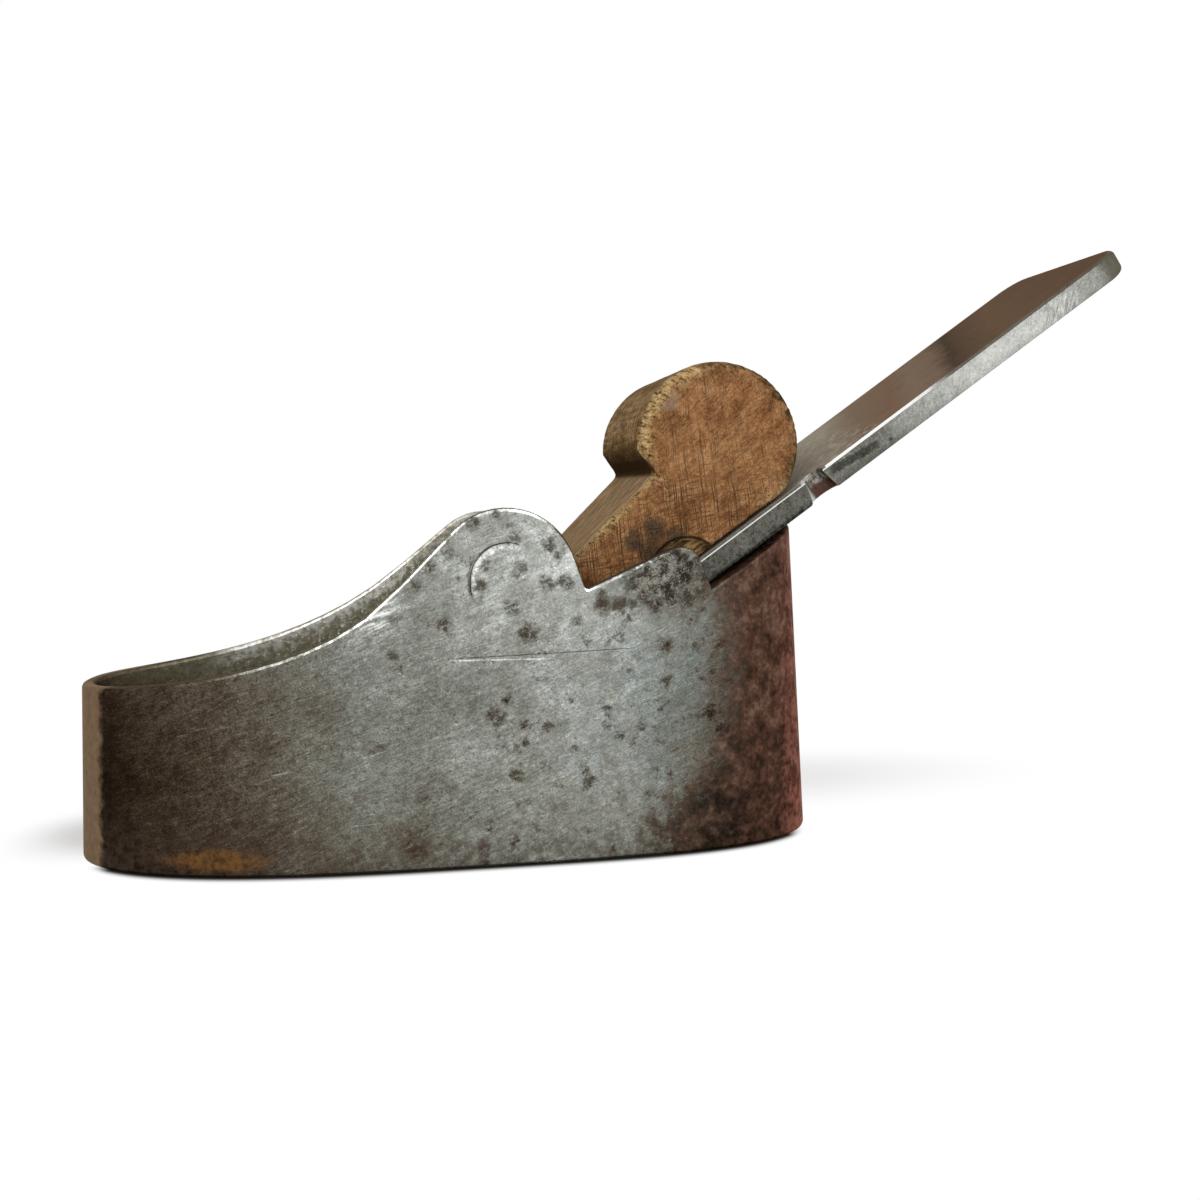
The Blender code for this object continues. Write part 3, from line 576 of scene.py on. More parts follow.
# Colour of the blade's face, as (share of the way between FACE_ENDS, colour)
FACE_ENDS = (85.0, 140.0)
FACE_COLOURS = (
    (0.0, (0.43, 0.38, 0.295)), (0.16, (0.41, 0.36, 0.275)), (0.28, (0.285, 0.205, 0.14)),
    (0.4, (0.262, 0.162, 0.108)), (0.48, (0.275, 0.195, 0.135)), (0.555, (0.245, 0.172, 0.12)),
    (0.605, (0.1, 0.069, 0.046)), (0.665, (0.15, 0.098, 0.062)), (0.76, (0.19, 0.12, 0.074)),
    (1.0, (0.16, 0.1, 0.063)),
)
# Bands of the face run across the blade at this slope
FACE_SLANT = -0.5
# Tone of the blade's sides, as (station, tone), falling toward the end as painted shade, and their colour,
# as (tone, colour)
SIDE_TONE = (
    (0.0, 0.38), (80.0, 0.4), (84.0, 0.42), (86.5, 0.46), (96.0, 0.45), (104.0, 0.61),
    (112.0, 0.76), (122.0, 0.76), (131.0, 0.68), (137.0, 0.57), (141.0, 0.4),
)
STEEL_TONES = (
    (0.0, (0.012, 0.012, 0.01)), (0.25, (0.06, 0.06, 0.05)), (0.45, (0.15, 0.15, 0.126)),
    (0.62, (0.3, 0.305, 0.275)), (0.8, (0.56, 0.57, 0.53)), (1.0, (0.86, 0.87, 0.85)),
)
# Dark streak on the side, a painted dark reflection: a point on its line, its slope and ends, and a speck
# beyond
STREAK_STATION = 89.0
STREAK_HEIGHT = -1.0
STREAK_SLOPE = 0.13
STREAK_ENDS = (88.6, 96.3)
SIDE_SPECK = ((98.1, -13.45, -2.4), 0.5)
# The nick in the side edges: stations, and distances from the middle
NICK_STATIONS = (84.2, 88.4)
NICK_REACH = (11.3, 13.33)
# Colours of wear, rust, painted highlight and painted shade, some as a dark and a light one
SPECKLE_GREY = (0.6, 0.57, 0.49)
CHAMFER_HIGHLIGHT_WHITE = (0.88, 0.89, 0.87)
WORN_EDGE_BROWN = (0.075, 0.056, 0.042)
NICK_RUST = (0.085, 0.04, 0.028)
NICK_GREYS = ((0.07, 0.06, 0.05), (0.46, 0.44, 0.4))
NICK_SHINE = (0.58, 0.58, 0.55)
END_SHADED_OLIVES = ((0.085, 0.076, 0.052), (0.19, 0.175, 0.13))
# Tint of grazing reflections, metal share and bump depth
STEEL_EDGE_TINT = (0.8, 0.79, 0.77)
STEEL_METAL = 0.9
STEEL_BUMP = 0.02


def bed_place(r):
    """Coordinates up the bed, across it and out of it."""
    return r.along(r.place, BED_ANGLE, origin=(MOUTH_X, 0.0, 0.0))


def steel_surface(name):
    """A recipe with the blade's textures, and where a point lies on it."""
    r = Recipe(name)
    r.bed = bed_place(r)
    r.station, r.offset, r.height = r.split(r.bed)
    across, out = r.split(r.along(r.normal, BED_ANGLE))[1:]
    r.face = r.step(out, 0.88, 0.97)
    r.chamfer = r.window(out, 0.3, 0.86, 0.06)
    r.side = r.step(r.size(across), 0.75, 0.9)
    end = r.step(r.vary(r.station, (r.noise(r.bed, 0.9, 3.0), 3.0)), 135.6, 138.2)
    r.end = r.times(end, r.rest(r.face))
    r.clouds = r.noise(r.bed, 0.12, 3.0, 0.6)
    r.patches = r.noise(r.bed, 0.5, 4.0, 0.6)
    r.mottle = r.noise(r.bed, 1.5, 4.0, 0.65)
    r.grain = r.noise(r.bed, 4.0, 3.0, 0.7)
    r.filed = r.fibres(r.bed, 50.0, (1.4, 1.0, 0.12), 2.0, 0.6)
    return r


def steel_face(r):
    """Colour of the face: pale by the wedge, then slanted bands of brown."""
    slanted = r.line(r.offset, FACE_SLANT, r.station)
    slanted = r.vary(slanted, (r.clouds, 5.0), (r.patches, 3.0))
    colour = r.ramp(r.step(slanted, *FACE_ENDS, kind="LINEAR"), FACE_COLOURS)
    brushed = r.fibres(r.bed, 0.0, (7.0, 0.5, 1.0), 3.0, 0.6)
    colour = r.scaled(colour, r.step(r.vary(brushed, (r.patches, 0.5)), 0.25, 0.75, 0.92, 1.1))
    flakes_and_glint = r.fibres(r.bed, 0.0, (1.6, 0.8, 1.0), 4.0, 0.72)
    worn_patch = r.window(r.vary(r.station, (r.patches, 8.0)), 84.0, 98.0, 2.0)
    speckle = r.times(r.step(r.vary(flakes_and_glint, (r.grain, 0.4)), 0.5, 0.62), worn_patch)
    return r.over(colour, SPECKLE_GREY, speckle, 0.75)


def steel_tone(r):
    """Tone of the sides: file marks, a dark streak of painted reflection, and shade below the nick."""
    tone = r.vary(r.profile(r.station, SIDE_TONE), (r.clouds, 0.16), (r.patches, 0.28), (r.mottle, 0.34))
    tone = r.vary(tone, (r.grain, 0.38), (r.filed, 0.2))
    tone = r.add(tone, r.vary(0.0, (r.filed, 0.6)), r.window(r.station, 126.0, 131.5, 0.8))
    low = r.step(r.height, -2.2, -3.2)
    tone = r.less(tone, low, r.step(r.mottle, 0.4, 0.6, 0.02, 0.12))
    shaded = r.times(r.step(r.vary(r.height, (r.mottle, 0.5)), -2.7, -3.1), r.step(r.station, 84.0, 82.0))
    tone = r.less(tone, shaded, 0.16)
    # Painted dark reflection, drawn as a streak along the side.
    drift = r.line(r.station, STREAK_SLOPE, -STREAK_HEIGHT - STREAK_SLOPE * STREAK_STATION)
    off_streak = r.size(r.add(r.height, drift))
    streak = r.step(r.vary(off_streak, (r.mottle, 0.8)), 0.7, 0.4)
    streak = r.times(streak, r.window(r.vary(r.station, (r.mottle, 1.0)), *STREAK_ENDS, 0.3))
    streak = r.most(streak, r.spot(r.bed, *SIDE_SPECK))
    tone = r.less(tone, streak, r.side, 0.2)
    below_nick = r.step(r.station, 85.0, 83.0)
    return r.less(tone, below_nick, r.step(r.mottle, 0.45, 0.6), 0.18)


def steel_edges(r, colour):
    """A painted highlight on the lower part's arris that shows, kept off its upper strip below the nick,
    and a dark worn one above.
    """
    station = r.vary(r.station, (r.patches, 8.0))
    above_nick = r.step(r.station, 84.0, 86.0)
    # Painted highlight on the chamfer; below the nick only its lower strip, the upper strip left in painted
    # shade.
    highlit = r.most(above_nick, r.step(r.height, -0.18, -0.28, 0.06, 1.0))
    colour = r.over(colour, CHAMFER_HIGHLIGHT_WHITE, r.chamfer, r.step(station, 112.0, 104.0), highlit)
    return r.over(colour, WORN_EDGE_BROWN, r.chamfer, r.step(station, 104.0, 112.0, 0.0, 0.85))


def steel_nick(r, colour):
    """Rust low in the nick, grey above it, and a shine on its lower end."""
    between = r.window(r.station, *NICK_STATIONS, 0.1)
    within = r.window(r.size(r.offset), *NICK_REACH, 0.05)
    greys = r.mix(r.step(r.mottle, 0.35, 0.65), *NICK_GREYS)
    inner = r.mix(r.step(r.height, -2.0, -1.0), NICK_RUST, greys)
    inner = r.mix(r.step(r.station, 85.6, 84.9), inner, NICK_SHINE)
    return r.over(colour, inner, between, within, 0.9)


def steel_material(name):
    """A thick iron: bright on its edges, partly polished and partly a painted highlight, brown and dull on
    its face.
    """
    r = steel_surface(name)
    tone = steel_tone(r)
    colour = r.mix(r.face, r.ramp(tone, STEEL_TONES), steel_face(r))
    colour = steel_edges(r, colour)
    colour = steel_nick(r, colour)
    # Painted shade on the blade's end, where its rounded corner turns from the light.
    colour = r.over(colour, r.mix(r.mottle, *END_SHADED_OLIVES), r.end, 0.85)
    metal = r.less(STEEL_METAL, r.most(r.face, r.end), STEEL_METAL)
    height = r.add(r.times(r.grain, 0.4), r.filed, 0.3, r.side)
    roughness = r.step(tone, 0.2, 0.9, 0.55, 0.32)
    return r.finish(colour, roughness, metal, height, STEEL_BUMP, STEEL_EDGE_TINT)


# Wedge

# The dense mesh: voxel size, and the passes and strength of its smoothing
WEDGE_VOXEL = 0.36
WEDGE_EASE = 2
EASE_STRENGTH = 0.5
# Its wear: depths, shares and noise scales of fraying, tears and dents
WEDGE_FRAY = 0.45
FRAY_SCALE = (0.6, 1.3, 1.6)
FRAY_LEAST = 0.2
TEAR_SCALE = 2.2
TEAR_SHARE = 0.5
DENT_SCALE = 0.25
DENT_DEPTH = 0.05
# Its outline on the bed: round head, groove, a point and slope of the taper, and foot
HEAD_CENTRE = (77.9, 0.0, 10.7)
HEAD_RADIUS = 11.15
GROOVE = (68.9, 0.0, 14.0)
TAPER_POINT = (45.3, 8.86)
TAPER_SLOPE = math.tan(math.radians(10.0))
TAPER_CUTOFF = 40.0
FOOT_BEYOND = 2.0
# Pockets that the band's ears press into its sides, and how far a side faces outwards
POCKET_CENTRE = (29.7, 36.95)
POCKET_RADIUS = 5.05
POCKET_DEPTH = 0.9
POCKET_SLOPE = 0.3
SIDE_FACING = 0.5
# Dabs of dirt on its near side, as (x, z, radius), and a bruise, as middle and radius
WEDGE_SIDE = -13.3
WEDGE_STAINS = ((22.4, 41.7, 3.0), (25.3, 43.0, 3.2), (28.0, 42.3, 2.6), (24.4, 40.3, 3.0))
BRUISE = ((26.6, WEDGE_SIDE, 60.3), 3.0)
# Woods, as (tone, colour)
SIDE_WOODS = (
    (0.15, (0.115, 0.047, 0.018)), (0.4, (0.255, 0.112, 0.044)), (0.58, (0.365, 0.175, 0.071)),
    (0.85, (0.53, 0.285, 0.132)),
)
HEAD_WOODS = ((0.2, (0.026, 0.015, 0.006)), (0.5, (0.15, 0.086, 0.034)), (0.8, (0.38, 0.24, 0.11)))
TAPER_WOODS = ((0.2, (0.072, 0.041, 0.017)), (0.5, (0.21, 0.127, 0.057)), (0.8, (0.41, 0.265, 0.13)))
TORN_WOODS = ((0.24, (0.075, 0.038, 0.014)), (0.48, (0.43, 0.265, 0.108)), (0.72, (0.76, 0.55, 0.28)))
# Colours of scratches, dirt, pockets, painted shade and painted light, some as a dark and a light one
SCORE_BROWN = (0.062, 0.027, 0.012)
PALE_HAIR = (0.56, 0.36, 0.2)
STAIN_BLACKS = ((0.014, 0.01, 0.007), (0.12, 0.084, 0.055))
BRUISE_GREY = (0.36, 0.26, 0.18)
LIT_FROM_ABOVE_TINT = (1.05, 1.17, 1.45)
SHADE_BROWN = (0.035, 0.019, 0.008)
GROOVE_SHADE_BLACK = (0.052, 0.028, 0.014)
GRIMES = ((0.028, 0.022, 0.01), (0.17, 0.115, 0.05))
POCKET_WOODS = ((0.075, 0.04, 0.016), (0.52, 0.345, 0.145))
POCKET_SHADE_LINE = (0.022, 0.014, 0.007)
WEDGE_BUMP = 0.06


def dense_copy(node, name):
    """A dense copy of a CAD node's mesh with its corners eased."""
    worn = add_object(name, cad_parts[node].data.copy())
    remesh = worn.modifiers.new("remesh", "REMESH")
    remesh.mode = "VOXEL"
    remesh.voxel_size = WEDGE_VOXEL * MM
    smoothing = worn.modifiers.new("ease", "SMOOTH")
    smoothing.factor = EASE_STRENGTH
    smoothing.iterations = WEDGE_EASE
    bpy.context.view_layer.update()
    evaluated = worn.evaluated_get(bpy.context.evaluated_depsgraph_get())
    mesh = bpy.data.meshes.new_from_object(evaluated)
    worn.modifiers.clear()
    worn.data = mesh
    mesh.materials.clear()
    mesh.shade_smooth()
    return worn


def wear_wedge(mesh):
    """Fray the wedge's arrises, dent its faces, and press in its pockets."""
    to_bed = BED_FRAME.inverted()
    moved = []
    for vertex in mesh.vertices:
        place = vertex.co / MM
        normal = vertex.normal
        bed = to_bed @ place
        across = min(abs(normal.y), 1.0)
        arris = 4.0 * across * (1.0 - across)
        fray = noise.noise(Vector([part * scale for part, scale in zip(bed, FRAY_SCALE)]))
        tear = noise.noise(Vector([part * TEAR_SCALE for part in bed]))
        dent = noise.noise(bed * DENT_SCALE)
        worn = FRAY_LEAST + max(0.0, fray) + TEAR_SHARE * max(0.0, tear)
        shifted = place - normal * (arris * WEDGE_FRAY * worn + DENT_DEPTH * dent)
        if across > SIDE_FACING:
            reach = (Vector((place.x, place.z)) - Vector(POCKET_CENTRE)).length
            press = POCKET_DEPTH * smooth(POCKET_RADIUS - reach, 0.0, POCKET_SLOPE)
            shifted.y -= math.copysign(press, place.y)
        moved.append(shifted * MM)
    for vertex, place in zip(mesh.vertices, moved):
        vertex.co = place
    mesh.update()


def wedge_surface(name):
    """A recipe with the wedge's textures, and where a point lies on it."""
    r = Recipe(name)
    r.bed = bed_place(r)
    r.station, _, r.height = r.split(r.bed)
    r.across = r.size(r.normal_y)
    r.side_share = r.step(r.across, 0.5, 0.75)
    r.in_section = r.vector("MULTIPLY", r.bed, SIDE_VIEW)
    r.clouds = r.noise(r.place, 0.16, 3.0, 0.6)
    r.patches = r.noise(r.place, 0.45, 4.0, 0.6)
    r.mottle = r.noise(r.place, 1.3, 4.0, 0.65)
    r.grain = r.noise(r.place, 3.6, 3.0, 0.7)
    r.ragged = r.noise(r.place, 0.7, 6.0, 0.72)
    r.fibre = r.fibres(r.bed, 0.0, (5.0, 0.8, 0.3), 4.0, 0.6)
    r.torn = r.fibres(r.place, -20.0, (1.6, 0.9, 0.35), 4.0, 0.72)
    return r


def wedge_scores(r):
    """Set the steep scratches, the pale hairs, and all the dark marks."""
    wander = r.warped(r.place, 0.25, 0.5, 1.0)
    r.steep = r.marks(wander, 98.0, (8.0, 1.0, 0.13), 1.0, 0.55, 0.64)
    r.pale_hairs = r.marks(wander, 30.0, (3.5, 1.0, 0.12), 1.0, 0.66, 0.72)
    shallow = r.marks(wander, 10.0, (5.0, 1.0, 0.14), 1.0, 0.56, 0.64)
    fine = r.marks(wander, 55.0, (3.5, 1.0, 0.12), 1.0, 0.64, 0.69)
    pores = r.marks(r.bed, 0.0, (1.2, 0.3, 0.13), 2.0, 0.62, 0.68)
    hatched = r.most(r.times(r.steep, 0.85), r.times(shallow, 0.68))
    hatched = r.times(hatched, r.step(r.z, 58.0, 46.0, 0.2, 1.0), r.step(r.patches, 0.36, 0.58, 0.2, 1.0))
    r.scored = r.most(hatched, r.times(r.most(pores, fine), 0.45))


def wedge_sides(r, tone):
    """Orange-brown wood with scratches, black dirt and a grey bruise."""
    colour = r.mix(r.scored, r.ramp(tone, SIDE_WOODS), SCORE_BROWN)
    colour = r.over(colour, PALE_HAIR, r.pale_hairs, 0.4)
    stain = r.spots(r.place, [((x, WEDGE_SIDE, z), radius, 1.0) for x, z, radius in WEDGE_STAINS])
    stain = r.step(r.vary(stain, (r.ragged, 1.9), (r.grain, 0.9), (r.steep, 0.7)), 0.0, 0.8)
    colour = r.over(colour, r.mix(r.step(r.grain, 0.3, 0.7), *STAIN_BLACKS), stain, 0.88)
    bruise = r.step(r.vary(r.spot(r.place, *BRUISE, core=0.2), (r.ragged, 1.2)), 0.3, 0.8)
    return r.over(colour, BRUISE_GREY, bruise, 0.55)


def wedge_rounds(r, side_colour):
    """The round head, lighter and greyer where it faces up as painted light, the taper's top, and painted
    shade in the groove between.
    """
    rough = r.vary(0.0, (r.mottle, 0.6), (r.grain, 0.5), (r.patches, 0.6))
    calm = r.step(r.normal_z, 0.2, 0.75, 1.0, 0.25)
    lengths = r.fibres(r.bed, 0.0, (4.0, 9.0, 0.4), 3.0, 0.6)
    head_tone = r.line(rough, calm, r.vary(0.5, (r.fibre, 0.5), (lengths, 0.6)))
    strands = r.fibres(r.bed, 0.0, (16.0, 0.5, 0.5), 3.0, 0.6)
    taper_tone = r.line(rough, 0.22, r.vary(0.5, (strands, 1.1)))
    on_taper = r.step(r.station, 69.5, 67.0)
    colour = r.mix(on_taper, r.ramp(head_tone, HEAD_WOODS), r.ramp(taper_tone, TAPER_WOODS))
    # Painted light: the head is lighter and greyer where it faces up.
    colour = r.scaled(colour, r.step(r.normal_z, -0.4, 0.5, 1.02, 1.75))
    colour = r.tinted(colour, LIT_FROM_ABOVE_TINT, r.step(r.normal_z, -0.2, 0.4, 0.0, 0.8))
    # The front keeps its dark olive, partly dirt and partly painted shade on the side turned from the
    # light; faces toward the heel take the sides' colour, darker.
    facing_heel = r.step(r.normal_x, -0.2, 0.2, 0.0, 0.8)
    colour = r.mix(facing_heel, colour, r.scaled(side_colour, 0.66))
    shade = r.times(r.spot(r.in_section, GROOVE, 5.2, 0.2), r.step(r.station, 67.9, 68.4))
    colour = r.over(colour, SHADE_BROWN, shade, r.step(r.mottle, 0.3, 0.7, 0.62, 0.4))
    # Painted shade deep in the groove under the nose.
    dirt_and_shade = r.step(r.vary(r.station, (r.mottle, 0.5)), 67.7, 68.2, 0.35, 1.0)
    return r.over(colour, GROOVE_SHADE_BLACK, r.spot(r.in_section, GROOVE, 1.95, 0.4), dirt_and_shade, 0.95)


def wedge_from_edge(r):
    """How far a point lies inside the wedge's side outline."""
    in_head = r.less(HEAD_RADIUS, r.vector("DISTANCE", r.in_section, HEAD_CENTRE))
    taper_top = r.line(r.station, TAPER_SLOPE, TAPER_POINT[1] - TAPER_SLOPE * TAPER_POINT[0])
    in_taper = r.less(r.less(taper_top, r.height), r.step(r.station, 68.4, 69.0, 0.0, TAPER_CUTOFF))
    before_end = r.less(HEAD_CENTRE[0] + FOOT_BEYOND, r.station)
    in_foot = r.math("MINIMUM", before_end, r.less(HEAD_CENTRE[2], r.height))
    return r.most(r.most(in_head, in_taper), in_foot)


def wedge_edges(r, colour):
    """Frayed arrises: pale torn wood in front, dark grime behind."""
    narrow = r.add(r.step(r.station, 78.0, 86.0, 0.0, 1.1), r.step(r.station, 69.0, 67.5, 0.0, 1.0))
    ruin = r.vary(r.add(wedge_from_edge(r), narrow), (r.torn, 5.0), (r.patches, 4.0))
    ruin = r.times(r.step(ruin, 2.3, 1.3), r.step(r.across, 0.25, 0.5))
    old_edge = r.step(r.vary(r.station, (r.patches, 8.0)), 79.0, 86.0)
    torn_colour = r.ramp(r.vary(r.grain, (r.torn, 1.6), (r.mottle, 0.8)), TORN_WOODS)
    colour = r.over(colour, torn_colour, ruin, r.rest(old_edge), 0.92)
    grime = r.mix(r.step(r.mottle, 0.42, 0.6), *GRIMES)
    return r.over(colour, grime, ruin, old_edge, 0.9)


def wedge_pockets(r, colour):
    """Bare pressed wood in the pockets, with a line of painted shade round each."""
    centre = (POCKET_CENTRE[0], 0.0, POCKET_CENTRE[1])
    reach = r.vector("DISTANCE", r.vector("MULTIPLY", r.place, SIDE_VIEW), centre)
    pressed = r.fibres(r.bed, 0.0, (1.6, 0.6, 0.35), 3.0, 0.65)
    bare = r.step(reach, POCKET_RADIUS + 0.1, POCKET_RADIUS - 0.2)
    colour = r.over(colour, r.mix(r.step(pressed, 0.4, 0.62), *POCKET_WOODS), bare, r.side_share, 0.85)
    # Painted shade: a dark line round the edge of each pocket.
    outline = r.window(r.vary(reach, (r.mottle, 0.3)), POCKET_RADIUS - 0.05, POCKET_RADIUS + 0.3, 0.12)
    return r.over(colour, POCKET_SHADE_LINE, outline, r.side_share, 0.85)


def wedge_material(name):
    """Handled fruitwood: hatched orange-brown sides, olive front, frayed pale arrises."""
    r = wedge_surface(name)
    wedge_scores(r)
    threads = r.fibres(r.bed, 6.0, (1.3, 0.5, 0.11), 2.0, 0.6)
    tone = r.vary(0.56, (r.clouds, 0.85), (r.patches, 0.95), (r.mottle, 0.8), (r.grain, 0.72))
    tone = r.vary(tone, (r.fibre, 0.34), (threads, 0.28))
    side_colour = wedge_sides(r, tone)
    colour = r.mix(r.side_share, wedge_rounds(r, side_colour), side_colour)
    colour = wedge_pockets(r, wedge_edges(r, colour))
    height = r.less(r.vary(r.grain, (r.fibre, 0.6), (r.torn, 0.5)), r.scored, 1.3)
    return r.finish(colour, r.step(tone, 0.2, 0.8, 0.7, 0.55), 0.0, height, WEDGE_BUMP)


def make_wedge():
    wedge = dense_copy("wedge", "wedge_worn")
    wear_wedge(wedge.data)
    wedge.data.materials.append(wedge_material("wedge_fruitwood"))
    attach(wedge, "wedge")
    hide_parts("wedge")


# Cross bar

BAR_SIDES = 96
# Depths of the bar's rings below either end
BAR_STEPS = (0.0, 0.12, 0.6, 3.0, 8.0)
# Width of the open seam round its end, as (angle from the heel, width)
SEAM_WIDTHS = ((68.0, 0.0), (90.0, 0.07), (115.0, 0.14), (150.0, 0.26), (185.0, 0.3), (205.0, 0.0))
SEAM_ROUNDING = 0.1
# Its hammered ends fill the holes to this depth. Its middle is slacker.
HAMMERED_DEPTH = 2.0
BAR_SWELL = 0.02
BAR_SLACK = 0.3
SHARP_ANGLE = 35.0


def seam_width(angle):
    """Width of the open seam at an angle from the heel, in degrees."""
    for (start, first), (end, second) in zip(SEAM_WIDTHS, SEAM_WIDTHS[1:]):
        if start <= angle <= end:
            return first + (second - first) * (angle - start) / (end - start)
    return 0.0


def bar_radius(angle, depth):
    """Radius of the bar at an angle and a depth below its end."""
    if depth >= HAMMERED_DEPTH:
        return BAR_HOLE - BAR_SLACK
    width = seam_width(angle)
    radius = BAR_HOLE + BAR_SWELL - width
    if depth == 0.0 and width > 0.0:
        radius -= SEAM_ROUNDING
    return radius


def make_bar(material):
    """The riveted bar: it fills its holes, apart from a seam left open on the toe side."""
    half = -NEAR_WALL
    levels = [(-half + step, step) for step in BAR_STEPS]
    levels += [(half - step, step) for step in reversed(BAR_STEPS)]
    vertices = []
    for level, depth in levels:
        for side in range(BAR_SIDES):
            angle = 360.0 * side / BAR_SIDES
            radius = bar_radius(angle, depth)
            x = BAR_X + radius * math.cos(math.radians(angle))
            z = BAR_Z + radius * math.sin(math.radians(angle))
            vertices.append((x * MM, level * MM, z * MM))
    faces = []
    for ring in range(len(levels) - 1):
        start = ring * BAR_SIDES
        for side in range(BAR_SIDES):
            after = (side + 1) % BAR_SIDES
            faces.append((start + side, start + after, start + BAR_SIDES + after, start + BAR_SIDES + side))
    faces.append(tuple(reversed(range(BAR_SIDES))))
    faces.append(tuple(range((len(levels) - 1) * BAR_SIDES, len(levels) * BAR_SIDES)))
    mesh = bpy.data.meshes.new("cross_bar_riveted")
    mesh.from_pydata(vertices, [], faces)
    mesh.materials.append(material)
    mesh.shade_smooth()
    mesh.set_sharp_from_angle(angle=math.radians(SHARP_ANGLE))
    bar = add_object("cross_bar_riveted", mesh)
    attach(bar, "body")
    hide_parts("cross_bar")


# Bed block

BED_WOODS = ((0.3, (0.045, 0.022, 0.011)), (0.7, (0.15, 0.078, 0.038)))
BED_ROUGHNESS = 0.65
BED_BUMP = 0.05


def bed_wood_material(name):
    """Plain dark hardwood under the iron."""
    r = Recipe(name)
    fibre = r.fibres(r.place, 0.0, (6.0, 0.8, 0.4), 4.0, 0.6)
    grain = r.noise(r.place, 3.0, 3.0, 0.7)
    colour = r.ramp(r.vary(fibre, (grain, 0.4)), BED_WOODS)
    return r.finish(colour, BED_ROUGHNESS, 0.0, r.vary(fibre, (grain, 0.5)), BED_BUMP)


# The pieces

def dress(node, material):
    """Give a CAD node one material, and let its large faces lead its shading."""
    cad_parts[node].modifiers.new("shading", "WEIGHTED_NORMAL").keep_sharp = True
    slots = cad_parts[node].data.materials
    slots.clear()
    slots.append(material)


iron = iron_material("worn_iron")
for iron_node in ("body_band", "toe_sole", "heel_sole"):
    dress(iron_node, iron)
dress("bed_block", bed_wood_material("bed_hardwood"))
dress("blade", steel_material("blade_steel"))
make_bar(iron)
make_wedge()


# Floor, light and camera

FLOOR_HALF = 3000.0
FLOOR_DROP = 0.02
FLOOR_WHITE = (0.97, 0.97, 0.97)
# Foot: half length at toe and heel, half width, and powers of its rounded plan
FOOT_REACH = (50.3, 50.2)
FOOT_HALF_WIDTH = -NEAR_WALL
FOOT_POWERS = ((2.85, 2.32), (3.69, 2.7))
# Painted contact shadow, a dark line along the foot's near edge: width, fade across, where its ends fade,
# and colour
CONTACT_WIDTH = 2.0
CONTACT_FADE = 2.0
CONTACT_ENDS = (45.0, 49.0)
CONTACT_SHADOW_DARK = (0.05, 0.045, 0.04)
# Soft shadows beside the toe and behind the heel: middle, half lengths and depth
SOFT_SHADOWS = (((-51.0, 7.0), (13.5, 15.0), 0.7), ((52.0, 20.0), (54.0, 21.0), 0.36))
WORLD_LIGHT = 0.45
# Lamps, as name, place and watts, and their common aim and size
LAMPS = (("key", (300, -420, 420), 1.0), ("fill", (-320, -360, 360), 0.7))
LAMP_AIM = (0, 0, 25)
LAMP_SIZE = 300


def seen_or_mirrored(tree):
    """1 where a ray comes from the camera, a gloss or through glass."""
    paths = tree.nodes.new("ShaderNodeLightPath")
    total = paths.outputs["Is Camera Ray"]
    for name in ("Is Glossy Ray", "Is Transmission Ray"):
        either = tree.nodes.new("ShaderNodeMath")
        either.operation = "MAXIMUM"
        tree.links.new(total, either.inputs[0])
        tree.links.new(paths.outputs[name], either.inputs[1])
        total = either.outputs[0]
    return total


def painted_contact_shadow(r):
    """The painted contact shadow: a dark line along the near edge of the foot's rounded plan."""
    halves = []
    for reach, (along, across) in zip(FOOT_REACH, FOOT_POWERS):
        share = r.math("POWER", r.math("DIVIDE", r.size(r.x), reach), along)
        room = r.most(r.rest(share), 0.0)
        halves.append(r.times(r.math("POWER", room, 1.0 / across), FOOT_HALF_WIDTH))
    toe_half, heel_half = halves
    half = r.add(toe_half, r.step(r.x, -0.1, 0.1), r.less(heel_half, toe_half))
    before = r.less(r.times(r.y, -1.0), half)
    under = r.step(r.y, CONTACT_FADE - FOOT_HALF_WIDTH / 2, -FOOT_HALF_WIDTH / 2)
    return r.times(r.step(before, CONTACT_WIDTH, 0.0), under, r.step(r.size(r.x), *reversed(CONTACT_ENDS)))


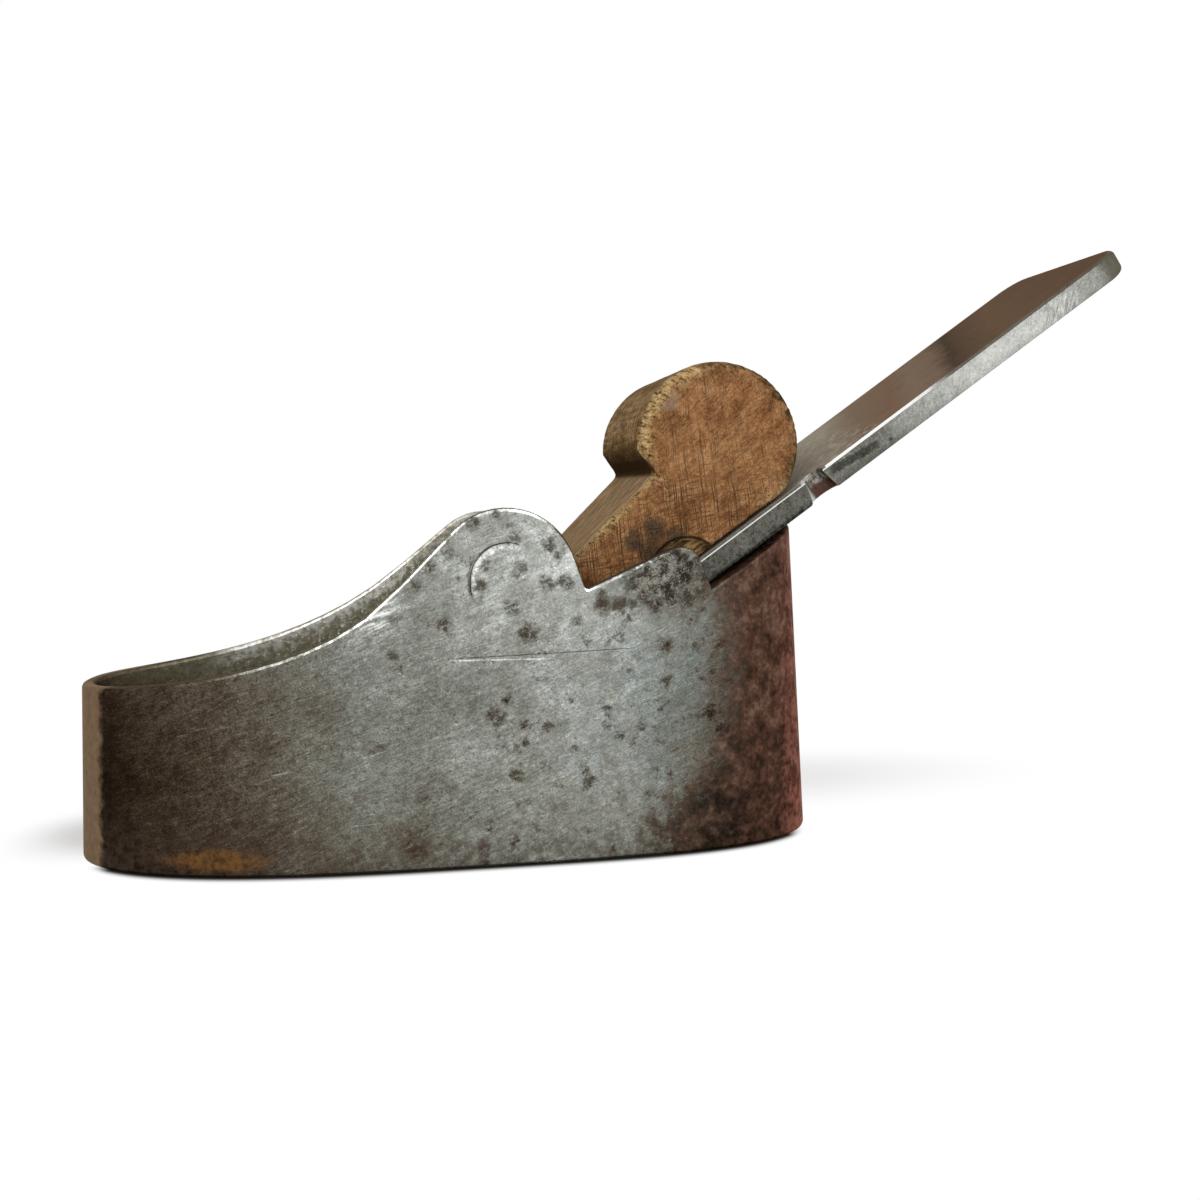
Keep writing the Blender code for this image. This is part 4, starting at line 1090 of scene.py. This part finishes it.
def floor_material():
    """White to the camera and in reflections, with a soft shadow round the foot."""
    r = Recipe("floor_white")
    contact_shadow = painted_contact_shadow(r)
    depth = 0.0
    for middle, reach, strength in SOFT_SHADOWS:
        off = r.vector("SUBTRACT", r.place, (*middle, 0.0))
        off = r.vector("MULTIPLY", off, (1.0 / reach[0], 1.0 / reach[1], 0.0))
        depth = r.most(depth, r.step(r.vector("LENGTH", off), 1.0, 0.1, 0.0, strength))
    share = r.times(seen_or_mirrored(r.tree), r.rest(r.most(depth, contact_shadow)))
    # The floor's colour darkens into the painted contact shadow.
    diffuse = r.node("BsdfDiffuse", [("Color", r.mix(contact_shadow, FLOOR_WHITE, CONTACT_SHADOW_DARK))])
    shine = r.node("Emission", ())
    blend = r.node("MixShader", enumerate((share, diffuse, shine)))
    r.tree.nodes.remove(r.shader)
    r.feed(r.tree.nodes["Material Output"].inputs[0], blend)
    return r.material


def make_floor():
    half = FLOOR_HALF * MM
    corners = [(-half, -half, 0), (half, -half, 0), (half, half, 0), (-half, half, 0)]
    mesh = bpy.data.meshes.new("floor")
    mesh.from_pydata(corners, [], [(0, 1, 2, 3)])
    mesh.materials.append(floor_material())
    floor = add_object("floor", mesh)
    floor.location.z = -FLOOR_DROP * MM


def make_world():
    """White where it is seen or mirrored, and a dimmer light elsewhere."""
    world = bpy.data.worlds.new("studio")
    bpy.context.scene.world = world
    world.use_nodes = True
    tree = world.node_tree
    background = tree.nodes["Background"]
    background.inputs["Color"].default_value = (1.0, 1.0, 1.0, 1.0)
    strength = tree.nodes.new("ShaderNodeMapRange")
    strength.inputs["To Min"].default_value = WORLD_LIGHT
    tree.links.new(seen_or_mirrored(tree), strength.inputs["Value"])
    tree.links.new(strength.outputs[0], background.inputs["Strength"])


def make_lamp(name, place, power):
    light = bpy.data.lights.new(name, "AREA")
    light.shape = "DISK"
    light.size = LAMP_SIZE * MM
    light.energy = power
    lamp = add_object(name, light)
    lamp.location = Vector(place) * MM
    lamp.rotation_euler = (Vector(LAMP_AIM) - Vector(place)).to_track_quat("-Z", "Y").to_euler()


def make_camera():
    camera = bpy.data.cameras.new("camera")
    camera.sensor_width = SENSOR_WIDTH
    camera.lens = CAMERA_LENS
    camera.clip_start = CAMERA_CLIP * MM
    holder = add_object("camera", camera)
    holder.location = Vector(CAMERA_PLACE) * MM
    holder.rotation_euler = (math.radians(90 - CAMERA_PITCH), 0, math.radians(-CAMERA_YAW))
    bpy.context.scene.camera = holder


make_floor()
make_world()
for lamp in LAMPS:
    make_lamp(*lamp)
make_camera()
bpy.context.scene.view_settings.view_transform = "Standard"
